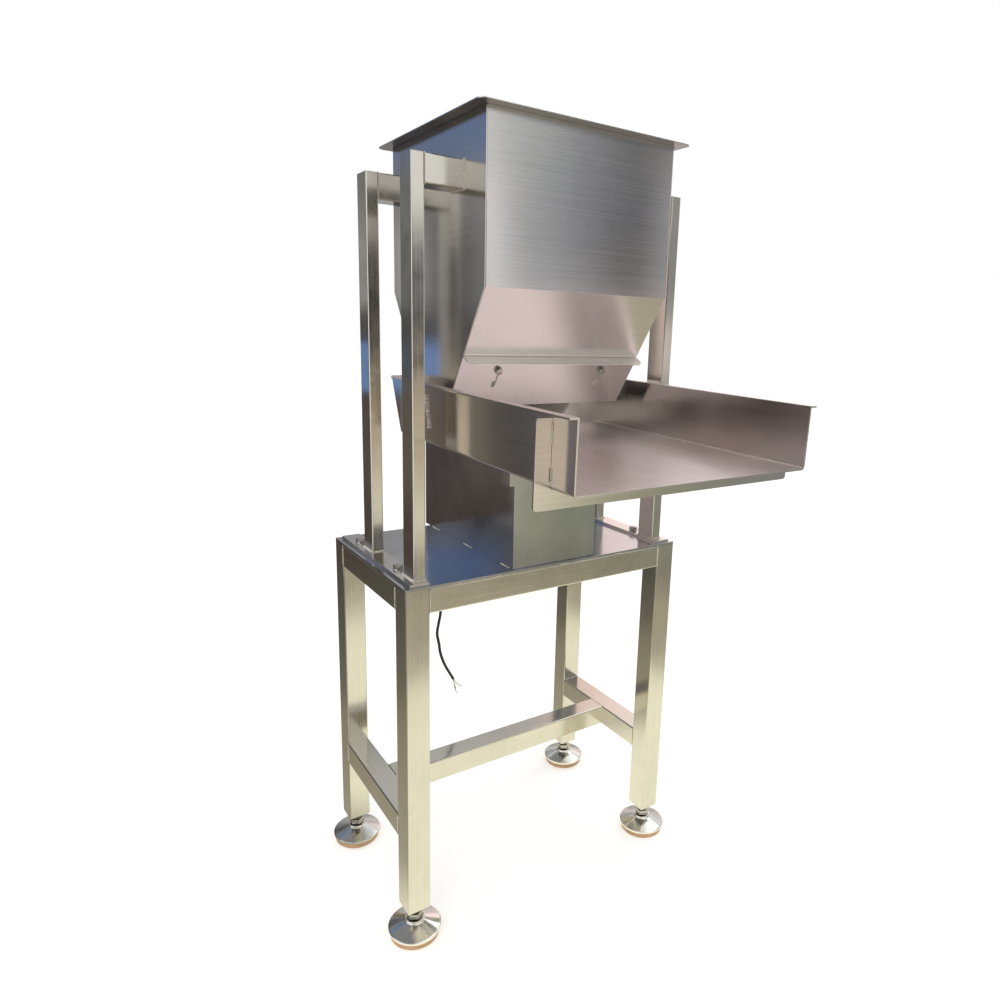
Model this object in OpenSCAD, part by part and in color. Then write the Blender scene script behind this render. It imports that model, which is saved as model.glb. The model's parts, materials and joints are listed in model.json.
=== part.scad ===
// Vibratory feeder: a hopper with a sliding gate over a tray that a spring drive shakes,
// all on a square-tube stand with levelling feet. Millimetres, Z up, the front faces -Y.
// The origin is on the floor, at the middle of the footprint of the whole machine.

/* [Hopper] */
// Outer width of the hopper
hopper_w = 424; // [354:1:509]
// Outer depth of the hopper, front to rear
hopper_d = 403; // [336:1:484]
// Height of the straight walls, from the crease to the top of the flange
box_h = 295; // [220:1:354]
// Height of the sloping part, from the outlet to the crease
cone_h = 220; // [183:1:264]
// Slope of the front and rear sheets, from the vertical
slope = 33; // [27:0.5:37]
// Thickness of the hopper's sheet
hopper_t = 2; // [1.5:0.1:4]
// How far the front sheet stops short of the outlet
front_open = 56; // [40:1:70]
// Width of the flange round the top
flange_w = 25; // [10:1:40]
// Corner radius of the flange
flange_r = 15; // [4:1:25]
// Distance from the table's front edge to the hopper's centre
hopper_setback = 144.5; // [120:0.5:170]

/* [Gate] */
// Length of the gate's plate, down the slope
gate_h = 121; // [112:1:130]
// How far the closed gate reaches past the outlet
gate_drop = 4; // [0:1:10]
// How far the gate slides
gate_travel = 38; // [20:1:45]
// Thickness of the gate's plate
gate_t = 2; // [1.5:0.1:4]
// Inner bend radius of the fold at the gate's top
gate_fold_r = 2; // [0.5:0.5:4]
// Width of the lip folded out at the gate's top
lip_w = 28; // [15:1:40]
// Corner cut of the lip
lip_cut = 9; // [3:1:14]
// Width of the slots
slot_w = 9; // [8.6:0.1:11]
// Distance between the two slots
slot_pitch = 254; // [180:1:300]
// Distance of the screws below the gate's top fold, with the gate closed
screw_drop = 32; // [28:1:36]

/* [Tray] */
// Gap between the hopper's side and the tray's wall
tray_side_gap = 41; // [20:1:60]
// How far the tray reaches out in front of the hopper
tray_reach = 341.5; // [240:0.5:420]
// Height of the tray's walls, floor included
tray_wall_h = 115; // [80:1:138]
// Width of the outward flanges on the tray's walls
tray_flange = 14; // [8:1:18]
// Length of the slant that trims the flanges' rear ends
flange_trim = 32; // [5:1:60]
// Thickness of the tray's sheet
tray_t = 3; // [2:0.1:5]
// Outer bend radius along the tray's floor
tray_bend_r = 7; // [5.5:0.5:12]
// Downhill tilt of the tray, towards its open front
tray_tilt = 1.3; // [0:0.1:3]
// Rake of the tray's rear panel, from the vertical
rear_rake = 24; // [15:1:40]
// Gap between the outlet's rear edge and the end of the tray's floor
rear_gap = 8; // [8:1:30]
// Height of the hopper's outlet above the tray's floor
outlet_gap = 68; // [45:1:90]
// Height of the tray's underside above the top of the drive's housing
tray_clear = 54; // [45:1:70]
// Distance of the collar behind the tray's front end
collar_back = 60; // [20:1:150]
// How far the collar stands out from the tray's walls
collar_w = 28; // [12:1:33]
// Thickness of the collar's plate
collar_t = 4; // [2:0.5:8]
// How far the collar hangs below the tray
collar_drop = 31; // [15:1:45]
// Corner radius of the collar
collar_r = 6.5; // [2:0.5:7]

/* [Stand] */
// Depth of the table, front to rear
table_d = 400; // [392:1:480]
// Length of the legs
leg_l = 695; // [450:1:900]
// Side of the square tube of legs, rails and stretchers
tube_w = 50; // [46:1:60]
// Wall of the square tube
tube_t = 2; // [1.5:0.1:4]
// Outer corner radius of the square tube
tube_r = 3; // [2:0.5:6]
// Thickness of the table plate
plate_t = 5; // [3:0.5:10]
// Height of the stretchers' underside above the legs' lower ends
stretcher_h = 154; // [60:1:300]

/* [Posts] */
// Width of the posts across the table
post_w = 25; // [25:1:50]
// Depth of the posts, front to rear, and of the arms
post_d = 50; // [40:1:60]
// Wall of the posts and arms
post_t = 2; // [1.5:0.1:3]
// Outer corner radius of the posts and arms
post_r = 2.5; // [2:0.1:4]
// Distance of the posts from the table's side edges
post_inset = 26.5; // [16:0.5:30]
// Distance of the front posts behind the table's front edge
post_setback = 21; // [10:1:40]
// Distance between front and rear posts, centre to centre
post_pitch = 213; // [178:1:255]
// Gap between the tray's flanges and the posts
tray_post_gap = 18.5; // [10:0.5:40]
// Distance of the post tops below the hopper's top
post_drop = 76; // [40:1:120]
// Height of the arms
arm_h = 50; // [30:1:60]
// Width of the base strips
strip_w = 40; // [36:1:50]
// Thickness of the base strips
strip_t = 6; // [4:0.5:10]
// Distance of the base strips from the table's side edges
strip_inset = 12; // [8:1:16]
// Distance of the strips' front ends from the table's front edge
strip_front = 7; // [2:1:15]
// Distance of the strips' rear ends from the table's rear edge
strip_rear = 12; // [2:1:18]
// Distance of the strip bolts behind their posts
strip_bolt_back = 39; // [20:1:60]

/* [Feet] */
// Height of the legs' lower ends above the floor
foot_h = 68; // [66:1:90]
// Diameter of the feet
foot_d = 110; // [92:1:132]
// Diameter of the rubber pads
pad_d = 102; // [84:1:124]
// Thickness of the rubber pads
pad_t = 15; // [10:0.5:16]
// Diameter of the hub on each foot
hub_d = 40; // [34:1:50]
// Diameter of the feet's studs
stud_d = 16; // [12:0.5:18]
// How far a foot can be screwed out
foot_travel = 25; // [10:1:60]

/* [Drive] */
// Outer width of the housing
housing_w = 206; // [180:1:240]
// Distance of the housing behind the table's front edge
housing_setback = 6; // [2:1:12]
// How far the housing reaches behind the table
housing_overhang = 25; // [0:1:28]
// Thickness of the housing's and the skirt's sheet
housing_t = 2; // [1:0.1:3]
// Gap between the housing's sides and the skirt
skirt_gap = 13; // [6:1:25]
// How far the skirt hangs past the top of the housing
skirt_lap = 31; // [10:1:60]
// Lean of the leaf springs from the vertical
spring_lean = 22; // [18:0.5:24]
// Thickness of one spring leaf
leaf_t = 3; // [1.5:0.1:4]
// Width of the spring leaves
leaf_w = 100; // [85:1:104]
// Length of the drive's block, between the two spring packs
block_l = 150; // [125:1:160]
// Height of the rubber isolators
isolator_h = 28; // [22:0.5:34]
// Diameter of the rubber isolators
isolator_d = 40; // [30:1:48]
// Air gap between armature and magnet core
air_gap = 2.5; // [2:0.1:4]

/* [Cable] */
// Diameter of the cable
cable_d = 7; // [5:0.5:8]

/* [Hidden] */
$fn = 48;

// Colours
steel = "#a9a59a";
dark_steel = "#7d786f";
bright_steel = "#c9c9c6";
cast_grey = "#5d6166";
rubber_black = "#2b2b2b";
pad_tan = "#b5764a";
copper = "#b3703c";
cable_black = "#1c1c1e";

// Clearances
slide_gap = 0.1;
seat_gap = 0.05;
bolt_clear = 0.5;
thread_clear = 0.05;
spring_gap = 0.25;
swivel_gap = 0.3;
collar_gap = 0.3;
// Enough to cut right through a sheet
eps = 1;
far = 2000;

// Heights, from the floor up
rail_top = foot_h + leg_l;
table_top = rail_top + plate_t;
strip_top = table_top + strip_t;

// Heights of the drive, from the table up
base_t = 20;
block_h = 40;
free_h = 60;
carrier_h = 40;
arm_t = 12;
housing_clear = 5;
base_z = table_top + isolator_h;
block_z = base_z + base_t;
carrier_z = block_z + block_h + free_h;
arm_z = carrier_z + carrier_h;
housing_top = arm_z + arm_t + housing_clear + housing_t;

// Places from front to rear, measured from the table's centre
table_front = -table_d / 2;
table_rear = table_d / 2;
hopper_y = table_front + hopper_setback;
hopper_front_y = hopper_y - hopper_d / 2;
hopper_rear_y = hopper_y + hopper_d / 2;
outlet_run = cone_h * tan(slope);
outlet_front_y = hopper_front_y + outlet_run;
outlet_rear_y = hopper_rear_y - outlet_run;
post_front_y = table_front + post_setback + post_d / 2;
post_rear_y = post_front_y + post_pitch;
housing_front_y = table_front + housing_setback;
housing_rear_y = table_rear + housing_overhang;

// Tray: its own frame starts at the front end of the floor's underside
tray_front_y = hopper_front_y - tray_reach;
tray_rise = (hopper_y - tray_front_y) * tan(tray_tilt);
tray_z = housing_top + tray_clear - tray_rise;
tray_floor_l = (outlet_rear_y + rear_gap - tray_front_y) / cos(tray_tilt);
tray_in = hopper_w / 2 + tray_side_gap;
tray_out = tray_in + tray_t;
tray_rake_run = tray_wall_h * tan(rear_rake);

// Hopper heights
outlet_z = housing_top + tray_clear + tray_t + outlet_gap;
crease_z = outlet_z + cone_h;
hopper_top = crease_z + box_h;
wall_top = hopper_top - hopper_t;
slope_l = cone_h / cos(slope);
front_cut = slope_l - front_open;

// Gate, down the slope from the crease
gate_bottom = slope_l + gate_drop;
gate_top = gate_bottom - gate_h;
screw_s = gate_top + screw_drop;

// Stand, measured from the table's centre
post_out = tray_out + tray_flange + tray_post_gap + post_w;
table_w = 2 * (post_out + post_inset);
leg_x = table_w / 2 - tube_w / 2;
leg_y = table_d / 2 - tube_w / 2;
post_x = post_out - post_w / 2;
post_top = hopper_top - post_drop;
strip_x = table_w / 2 - strip_inset - strip_w / 2;
arm_l = post_out - post_w - hopper_w / 2;
strip_bolt_y = [for (y = [post_front_y, post_rear_y]) y + post_d / 2 + strip_bolt_back];

// The object's origin lies at the middle between its front and rear ends
front_end = tray_front_y - tray_wall_h * sin(tray_tilt);
rear_end = max(leg_y + foot_d / 2, housing_rear_y);
table_y = -(front_end + rear_end) / 2;

// Fasteners: thread, across flats, head height, nut height, washer diameter and thickness
gate_screw_d = 8;
gate_screw_af = 13;
gate_screw_head = 5.3;
gate_nut_h = 6.5;
gate_washer_d = 16;
gate_washer_t = 1.6;
bolt_d = 10;
bolt_af = 17;
bolt_head = 6.4;
bolt_nut_h = 8;
bolt_washer_d = 20;
bolt_washer_t = 2;
cover_screw_d = 5;
cover_screw_head_d = 9.5;
cover_screw_head = 3.8;

// Feet
ball_d = 18;
neck_d = 12;
ball_z = pad_t + 12;
hub_top = pad_t + 23;
hub_play = 2;
hub_mouth_d = 16;
hex_z = hub_top + hub_play;
hex_h = 12;
hex_af = 30;
lock_nut_h = 10;
lock_nut_af = 24;
end_plate_t = 6;
bush_d = 28;
bush_h = 30;
stud_in_leg = bush_h + foot_travel + 27;
rim_h = 4.5;
pad_chamfer = 2;

// Drive
base_half_w = 75;
block_half_w = 55;
base_gap = 18;
base_front_y = housing_front_y + housing_t + base_gap;
base_rear_y = housing_rear_y - housing_t - base_gap;
spring_front_y = housing_front_y + 54;
spring_rear_y = spring_front_y + block_l;
leaf_gap = 0.2;
pack_t = 2 * leaf_t + leaf_gap;
bar_t = 12;
leaf_from = 4;
leaf_to = (carrier_z + carrier_h - block_z) / cos(spring_lean) - 4;
lower_bar = [10, block_h / cos(spring_lean) - 1];
upper_bar = [(carrier_z - block_z) / cos(spring_lean) + 3, leaf_to];
clamp_bolt_x = 30;
clamp_bolt_depth = 24;
isolator_x = 50;
isolator_y = [table_front + tube_w + 16, table_rear - tube_w - 16];
isolator_plate_t = 3;
web_t = 12;
top_plate_t = 8;
top_plate_half_w = 58;
top_plate_y = [spring_front_y + 5, spring_front_y + 105];
riser_y = [spring_front_y + 57, spring_front_y + 135];
skirt_rear_gap = 12;
stud_x = 25;
stud_y = [top_plate_y[0] + 15, top_plate_y[1] - 15];
stud_l = 24;

// Magnet: its frame lies on the armature's rear face and leans like the springs
magnet_y = base_rear_y - 80;
magnet_z = block_z + 69;
armature_t = 12;
armature_half_w = 40;
armature_half_h = 30;
core_half_w = 40;
core_half_h = 25;
yoke_t = 18;
core_leg_l = 37;
core_centre_w = 20;
core_side_w = 10;
coil_half_w = 29;
coil_half_h = 44;
coil_gap = 0.5;
bracket_t = 12;
hanger_half_w = 30;

// Housing: opening in its top for the carrier, and folds that take the rear cover
opening_clear = 10;
opening_y = [riser_y[0] - 16 - opening_clear, riser_y[1] + opening_clear - 5];
cover_fold = 14;
cover_screw_in = 8;

// Cable: gland below the table, and the route from the gland's lower end
gland_x = -85;
gland_inset = 20;
gland_y = table_rear - tube_w - gland_inset;
gland_thread_d = 16;
gland_hex_af = 24;
gland_flange_h = 8;
gland_cap_af = 20;
gland_cap_h = 20;
gland_nut_h = 5;
cable_exit_z = rail_top - gland_flange_h - gland_cap_h;
cable_sides = 10;
wire_d = 2;
wire_sides = 8;
cable_route = [
    [0, 0, 0], [0, 0, -20], [-3, 1, -45], [-8, 4, -85], [-13, 8, -125], [-16, 12, -160],
    [-17, 15, -185], [-20, 17, -205], [-23, 20, -234], [-18, 20, -263], [-14, 20, -289],
    [-2, 20, -323], [22, 20, -368],
];
wire_routes = [
    [[23.5, 20, -368], [31, 20, -382], [46, 20, -395]],
    [[22, 21.5, -369], [27, 23, -385], [34, 27, -401]],
    [[22, 18.5, -369], [24, 16, -387], [28, 13, -405]],
];

module placed() {
    translate([0, table_y, 0]) children();
}

// Rounded rectangle about the origin
module rounded_rect(w, d, r) {
    square([w - 2 * r, d], center = true);
    square([w, d - 2 * r], center = true);
    for (x = [-1, 1], y = [-1, 1])
        translate([x * (w / 2 - r), y * (d / 2 - r)]) circle(r);
}

// Section of a rectangular tube
module tube_section(w, d, wall, r) {
    difference() {
        rounded_rect(w, d, r);
        rounded_rect(w - 2 * wall, d - 2 * wall, max(r - wall, 0.5));
    }
}

// Turns a section so that it runs along X
module along_x(l) {
    rotate([90, 0, 90]) linear_extrude(l, center = true) children();
}

// Turns a section so that it runs along Y
module along_y(l) {
    rotate([90, 0, 0]) linear_extrude(l, center = true) children();
}

module square_tube() {
    tube_section(tube_w, tube_w, tube_t, tube_r);
}

// Hexagonal prism, sized across its flats
module hex_prism(af, h) {
    cylinder(h = h, d = af / cos(30), $fn = 6);
}

// Ring, such as a washer
module ring(outer_d, inner_d, h) {
    difference() {
        cylinder(h = h, d = outer_d);
        translate([0, 0, -eps]) cylinder(h = h + 2 * eps, d = inner_d);
    }
}

// Hexagon nut with a clear bore
module nut(af, d, h) {
    difference() {
        hex_prism(af, h);
        translate([0, 0, -eps]) cylinder(h = h + 2 * eps, d = d + 2 * thread_clear);
    }
}

// Hexagon head bolt: head above the origin, shank below it
module hex_bolt(d, af, head, l) {
    translate([0, 0, seat_gap]) hex_prism(af, head);
    translate([0, 0, -l]) cylinder(h = l + eps, d = d);
}

// Sweeps a round section along a route that runs downwards
function spline_at(a, b, c, d, t) =
    0.5 * (2 * b + (c - a) * t + (2 * a - 5 * b + 4 * c - d) * t * t + (3 * b - a - 3 * c + d) * t * t * t);
function spline(route, steps) = [
    for (i = [0:len(route) - 2], k = [0:steps - 1])
        spline_at(route[max(i - 1, 0)], route[i], route[i + 1], route[min(i + 2, len(route) - 1)], k / steps),
    route[len(route) - 1],
];
function unit(v) = v / norm(v);
function heading(points, i) = unit(points[min(i + 1, len(points) - 1)] - points[max(i - 1, 0)]);
function ring_points(points, i, r, sides) =
    let (t = heading(points, i), u = unit(cross([0, 1, 0], t)), v = cross(t, u))
    [for (k = [0:sides - 1]) points[i] + r * (u * cos(360 * k / sides) + v * sin(360 * k / sides))];

module swept(route, d, sides, steps) {
    points = spline(route, steps);
    n = len(points);
    skin = [
        for (i = [0:n - 2], k = [0:sides - 1])
            let (a = i * sides, b = a + sides, next = (k + 1) % sides)
            [a + k, b + k, b + next, a + next],
    ];
    ends = [[for (k = [0:sides - 1]) k], [for (k = [sides - 1:-1:0]) (n - 1) * sides + k]];
    rings = [for (i = [0:n - 1]) each ring_points(points, i, d / 2, sides)];
    polyhedron(points = rings, faces = concat(skin, ends));
}

// Stand

module leg(sx, sy) {
    placed() color(steel) translate([sx * leg_x, sy * leg_y, foot_h]) {
        linear_extrude(leg_l) square_tube();
        difference() {
            union() {
                linear_extrude(end_plate_t)
                    rounded_rect(tube_w - tube_t, tube_w - tube_t, max(tube_r - tube_t / 2, 0.5));
                cylinder(h = bush_h, d = bush_d);
            }
            translate([0, 0, -eps]) cylinder(h = bush_h + 2 * eps, d = stud_d + 2 * thread_clear);
        }
    }
}

module rail_x(y, z) {
    placed() color(steel) translate([0, y, z]) along_x(table_w - 2 * tube_w) square_tube();
}

module rail_y(x, z) {
    placed() color(steel) translate([x, 0, z]) along_y(table_d - 2 * tube_w) square_tube();
}

module side_rail(sx) {
    difference() {
        rail_y(sx * leg_x, rail_top - tube_w / 2);
        placed() at_strip_bolts(sx) translate([0, 0, rail_top - tube_t - eps])
            cylinder(h = tube_t + 2 * eps, d = bolt_d + 2 * bolt_clear);
    }
}

module at_strip_bolts(sx) {
    for (y = strip_bolt_y) translate([sx * strip_x, y, 0]) children();
}

module at_isolators() {
    for (x = [-1, 1], y = isolator_y) translate([x * isolator_x, y, 0]) children();
}

module table_plate() {
    placed() color(dark_steel) difference() {
        translate([0, 0, rail_top]) linear_extrude(plate_t) rounded_rect(table_w, table_d, 2);
        for (sx = [-1, 1]) at_strip_bolts(sx) translate([0, 0, rail_top - eps])
            cylinder(h = plate_t + 2 * eps, d = bolt_d + 2 * bolt_clear);
        at_isolators() translate([0, 0, rail_top - eps])
            cylinder(h = plate_t + 2 * eps, d = bolt_d + 2 * bolt_clear);
        translate([gland_x, gland_y, rail_top - eps])
            cylinder(h = plate_t + 2 * eps, d = gland_thread_d + 2 * thread_clear);
    }
}

module base_strips() {
    strip_l = table_d - strip_front - strip_rear;
    placed() color(steel) for (sx = [-1, 1]) difference() {
        translate([sx * strip_x - strip_w / 2, table_front + strip_front, table_top])
            cube([strip_w, strip_l, strip_t]);
        at_strip_bolts(sx) translate([0, 0, table_top - eps])
            cylinder(h = strip_t + 2 * eps, d = bolt_d + 2 * bolt_clear);
    }
}

module strip_bolts() {
    grip = bolt_washer_t + strip_t + plate_t + tube_t;
    placed() color(bright_steel) for (sx = [-1, 1]) at_strip_bolts(sx) {
        translate([0, 0, strip_top + bolt_washer_t])
            hex_bolt(bolt_d, bolt_af, bolt_head, grip + bolt_nut_h + 3);
        translate([0, 0, strip_top]) ring(bolt_washer_d, bolt_d + 2 * thread_clear, bolt_washer_t);
        translate([0, 0, rail_top - tube_t - bolt_nut_h]) nut(bolt_af, bolt_d, bolt_nut_h);
    }
}

// Posts and arms

module post(sx, y) {
    post_l = post_top - strip_top;
    placed() color(steel) translate([sx * post_x, y, strip_top]) {
        linear_extrude(post_l) tube_section(post_w, post_d, post_t, post_r);
        translate([0, 0, post_l - post_t]) linear_extrude(post_t) rounded_rect(post_w, post_d, post_r);
    }
}

module hopper_arms() {
    placed() color(steel) for (sx = [-1, 1], y = [post_front_y, post_rear_y])
        translate([sx * (hopper_w + arm_l) / 2, y, post_top - arm_h / 2])
            along_x(arm_l) tube_section(post_d, arm_h, post_t, post_r);
}

// Hopper

// Sheet with one fold, as its outline seen from the side: straight wall down, then in by the slope
function folded_sheet(cut) = [
    [0, wall_top], [0, crease_z],
    [cut * sin(slope), crease_z - cut * cos(slope)],
    [cut * sin(slope) + hopper_t * cos(slope), crease_z - cut * cos(slope) + hopper_t * sin(slope)],
    [hopper_t, crease_z + hopper_t * tan(slope / 2)],
    [hopper_t, wall_top],
];

module hopper_front() {
    placed() color(steel) difference() {
        translate([0, hopper_front_y, 0])
            along_x(hopper_w - 2 * hopper_t) polygon(folded_sheet(front_cut));
        on_front_slope() at_gate_screws(screw_s) translate([0, 0, -eps])
            cylinder(h = hopper_t + 2 * eps, d = gate_screw_d + 2 * thread_clear);
    }
}

module hopper_rear() {
    placed() color(steel) translate([0, hopper_rear_y, 0]) mirror([0, 1, 0])
        along_x(hopper_w - 2 * hopper_t) polygon(folded_sheet(slope_l));
}

module hopper_side(sx) {
    outline = [
        [hopper_front_y, wall_top], [hopper_front_y, crease_z], [outlet_front_y, outlet_z],
        [outlet_rear_y, outlet_z], [hopper_rear_y, crease_z], [hopper_rear_y, wall_top],
    ];
    placed() color(dark_steel) translate([sx * (hopper_w - hopper_t) / 2, 0, 0])
        along_x(hopper_t) polygon(outline);
}

module hopper_flange() {
    placed() color(dark_steel) translate([0, hopper_y, wall_top]) linear_extrude(hopper_t) difference() {
        rounded_rect(hopper_w + 2 * flange_w, hopper_d + 2 * flange_w, flange_r);
        square([hopper_w - 2 * hopper_t, hopper_d - 2 * hopper_t], center = true);
    }
}

// Frame of the front slope: Y runs down the slope from the crease and -Z points out of the sheet
module on_front_slope() {
    translate([0, hopper_front_y, crease_z]) rotate([slope - 90, 0, 0]) children();
}

module at_gate_screws(s) {
    for (x = [-1, 1]) translate([x * slot_pitch / 2, s, 0]) children();
}

module gate_slot() {
    for (s = [0, gate_travel]) translate([0, s, 0]) cylinder(h = gate_t + 2 * eps, d = slot_w);
    translate([-slot_w / 2, 0, 0]) cube([slot_w, gate_travel, gate_t + 2 * eps]);
}

// Section of a sheet bent square at the origin, with one leg along each axis
module bent_section(leg, rise, t, inner_r) {
    r = inner_r + t;
    translate([r, 0]) square([leg - r, t]);
    translate([0, r]) square([t, rise - r]);
    translate([r, r]) intersection() {
        difference() {
            circle(r);
            circle(inner_r);
        }
        translate([-r, -r]) square(r);
    }
}

module gate() {
    placed() color(steel) on_front_slope() translate([0, 0, -slide_gap]) difference() {
        along_x(hopper_w) translate([gate_top, 0]) mirror([0, 1])
            bent_section(gate_h, lip_w, gate_t, gate_fold_r);
        at_gate_screws(screw_s) translate([0, 0, -gate_t - eps]) gate_slot();
        for (x = [-1, 1]) translate([x * hopper_w / 2, gate_top - eps, -lip_w]) rotate([-90, 0, 0])
            cylinder(h = gate_t + 2 * eps, r = lip_cut, $fn = 4);
    }
}

module gate_screws() {
    seat = 2 * slide_gap + gate_t;
    placed() color(bright_steel) on_front_slope() at_gate_screws(screw_s) {
        translate([0, 0, -seat - gate_washer_t]) mirror([0, 0, 1])
            hex_bolt(gate_screw_d, gate_screw_af, gate_screw_head,
                     gate_washer_t + seat + hopper_t + gate_nut_h + 2);
        translate([0, 0, -seat - gate_washer_t])
            ring(gate_washer_d, gate_screw_d + 2 * thread_clear, gate_washer_t);
        translate([0, 0, hopper_t]) nut(gate_screw_af, gate_screw_d, gate_nut_h);
    }
}

// Tray

// Frame of the tray: Y runs back along its floor, Z stands up from the floor's underside
module in_tray() {
    translate([0, tray_front_y, tray_z]) rotate([tray_tilt, 0, 0]) children();
}

function tray_local_y(y) = (y - tray_front_y) / cos(tray_tilt);

// Area between the tray's walls and floor, open at the top
module channel_section(half_w, floor_z, r, top_z) {
    translate([-half_w, floor_z + r]) square([2 * half_w, top_z - floor_z - r]);
    translate([r - half_w, floor_z]) square([2 * (half_w - r), r + eps]);
    for (x = [-1, 1]) translate([x * (half_w - r), floor_z + r]) circle(r);
}

module pan_section() {
    difference() {
        union() {
            channel_section(tray_out, 0, tray_bend_r, tray_wall_h);
            translate([-tray_out - tray_flange, tray_wall_h - tray_t])
                square([2 * (tray_out + tray_flange), tray_t]);
        }
        channel_section(tray_in, tray_t, tray_bend_r - tray_t, tray_wall_h + eps);
    }
}

// Everything behind the raked rear end of the tray
module behind_rake(inset) {
    top = tray_wall_h + eps;
    start = tray_floor_l - inset / cos(rear_rake);
    along_x(far) polygon([
        [start - eps * tan(rear_rake), -eps], [start + top * tan(rear_rake), top],
        [tray_floor_l + far, top], [tray_floor_l + far, -eps],
    ]);
}

module tray_pan() {
    l = tray_floor_l + tray_rake_run;
    edge = tray_out + tray_flange;
    placed() color(steel) in_tray() difference() {
        translate([0, l / 2, 0]) along_y(l) pan_section();
        behind_rake(0);
        for (x = [-1, 1]) translate([0, 0, tray_wall_h - tray_t - eps]) linear_extrude(tray_t + 2 * eps)
            polygon([[x * tray_out, l], [x * edge, l - flange_trim], [x * (edge + eps), l - flange_trim],
                     [x * (edge + eps), l + eps], [x * tray_out, l + eps]]);
    }
}

module tray_rear_panel() {
    l = tray_floor_l + tray_rake_run;
    placed() color(steel) in_tray() difference() {
        intersection() {
            translate([0, l / 2, 0]) along_y(l + 2 * eps)
                channel_section(tray_in - slide_gap, tray_t, tray_bend_r - tray_t, tray_wall_h);
            behind_rake(tray_t);
        }
        behind_rake(0);
    }
}

module tray_collar() {
    inner = tray_out + collar_gap;
    outer = tray_out + collar_w;
    top = tray_wall_h - tray_t - 5;
    placed() color(steel) in_tray() translate([0, collar_back + collar_t / 2, 0])
        along_y(collar_t) difference() {
            translate([0, (top - collar_drop) / 2])
                rounded_rect(2 * outer, top + collar_drop, collar_r);
            channel_section(inner, -collar_gap, tray_bend_r, top + eps);
        }
}

// Walls that hang under the tray round the housing's top; the rear one ends above the housing
module tray_skirt() {
    half = housing_w / 2 + skirt_gap + housing_t;
    front = housing_front_y - 4 - housing_t;
    rear = riser_y[1] + skirt_rear_gap;
    low = housing_top - skirt_lap;
    placed() color(steel) difference() {
        translate([-half, front, low]) cube([2 * half, rear - front, tray_clear + 2 * skirt_lap]);
        translate([housing_t - half, front + housing_t, low - eps])
            cube([2 * (half - housing_t), rear - front - 2 * housing_t, tray_clear + 3 * skirt_lap]);
        translate([-half - eps, rear - 2 * housing_t, low - eps])
            cube([2 * half + 2 * eps, 3 * housing_t, skirt_lap + 8]);
        in_tray() translate([-half - eps, 0, 0]) cube([2 * half + 2 * eps, far, far]);
    }
}

// Drive

// Frame that leans with the springs: Z runs up along a leaf, Y back and down, square to it
module leaning(y, z) {
    translate([0, y, z]) rotate([-spring_lean, 0, 0]) children();
}

// Side outline of a block whose front and rear faces lie on the two spring planes
module leaning_block(half_w, z_low, h) {
    function at(y, z) = [y + (z - block_z) * tan(spring_lean), z];
    along_x(2 * half_w) polygon([
        at(spring_front_y, z_low), at(spring_rear_y, z_low),
        at(spring_rear_y, z_low + h), at(spring_front_y, z_low + h),
    ]);
}

// Places children on the clamp bolts: -Z points into the block at both ends
module at_clamp_bolts(bar, out) {
    mid = (bar[0] + bar[1]) / 2;
    for (x = [-1, 1]) {
        leaning(spring_front_y, block_z) translate([x * clamp_bolt_x, -out, mid])
            rotate([90, 0, 0]) children();
        leaning(spring_rear_y, block_z) translate([x * clamp_bolt_x, out, mid])
            rotate([-90, 0, 0]) children();
    }
}

module clamp_holes(bar) {
    at_clamp_bolts(bar, 0) translate([0, 0, -clamp_bolt_depth - 1])
        cylinder(h = clamp_bolt_depth + 1 + eps, d = bolt_d + 2 * thread_clear);
}

module clamp_set(bar) {
    stack = 2 * spring_gap + pack_t;
    h = bar[1] - bar[0];
    for (side = [[spring_front_y, -1], [spring_rear_y, 1]])
        leaning(side[0], block_z) translate([0, side[1] * (stack + bar_t / 2), (bar[0] + bar[1]) / 2])
            difference() {
                cube([leaf_w, bar_t, h], center = true);
                for (x = [-1, 1]) translate([x * clamp_bolt_x, 0, 0]) rotate([90, 0, 0])
                    cylinder(h = bar_t + 2 * eps, d = bolt_d + 2 * thread_clear, center = true);
            }
    at_clamp_bolts(bar, stack + bar_t) hex_bolt(bolt_d, bolt_af, bolt_head, stack + bar_t + clamp_bolt_depth);
}

module lower_clamps() {
    placed() color(cast_grey) clamp_set(lower_bar);
}

module upper_clamps() {
    placed() color(cast_grey) clamp_set(upper_bar);
}

module leaf_pack(y, side) {
    placed() color(bright_steel) leaning(y, block_z) difference() {
        for (out = [spring_gap, spring_gap + leaf_t + leaf_gap])
            translate([0, side * (out + leaf_t / 2), (leaf_from + leaf_to) / 2])
                cube([leaf_w, leaf_t, leaf_to - leaf_from], center = true);
        for (x = [-1, 1], bar = [lower_bar, upper_bar])
            translate([x * clamp_bolt_x, side * pack_t / 2, (bar[0] + bar[1]) / 2]) rotate([90, 0, 0])
                cylinder(h = 4 * pack_t, d = bolt_d + 2 * bolt_clear, center = true);
    }
}

module front_leaf_springs() {
    leaf_pack(spring_front_y, -1);
}

module rear_leaf_springs() {
    leaf_pack(spring_rear_y, 1);
}

module drive_base() {
    placed() color(cast_grey) difference() {
        union() {
            translate([-base_half_w, base_front_y, base_z])
                cube([2 * base_half_w, base_rear_y - base_front_y, base_t]);
            leaning_block(block_half_w, block_z - eps, block_h + eps);
            magnet_bracket();
        }
        clamp_holes(lower_bar);
        at_isolators() translate([0, 0, base_z - eps])
            cylinder(h = base_t, d = bolt_d + 2 * thread_clear);
    }
}

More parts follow.
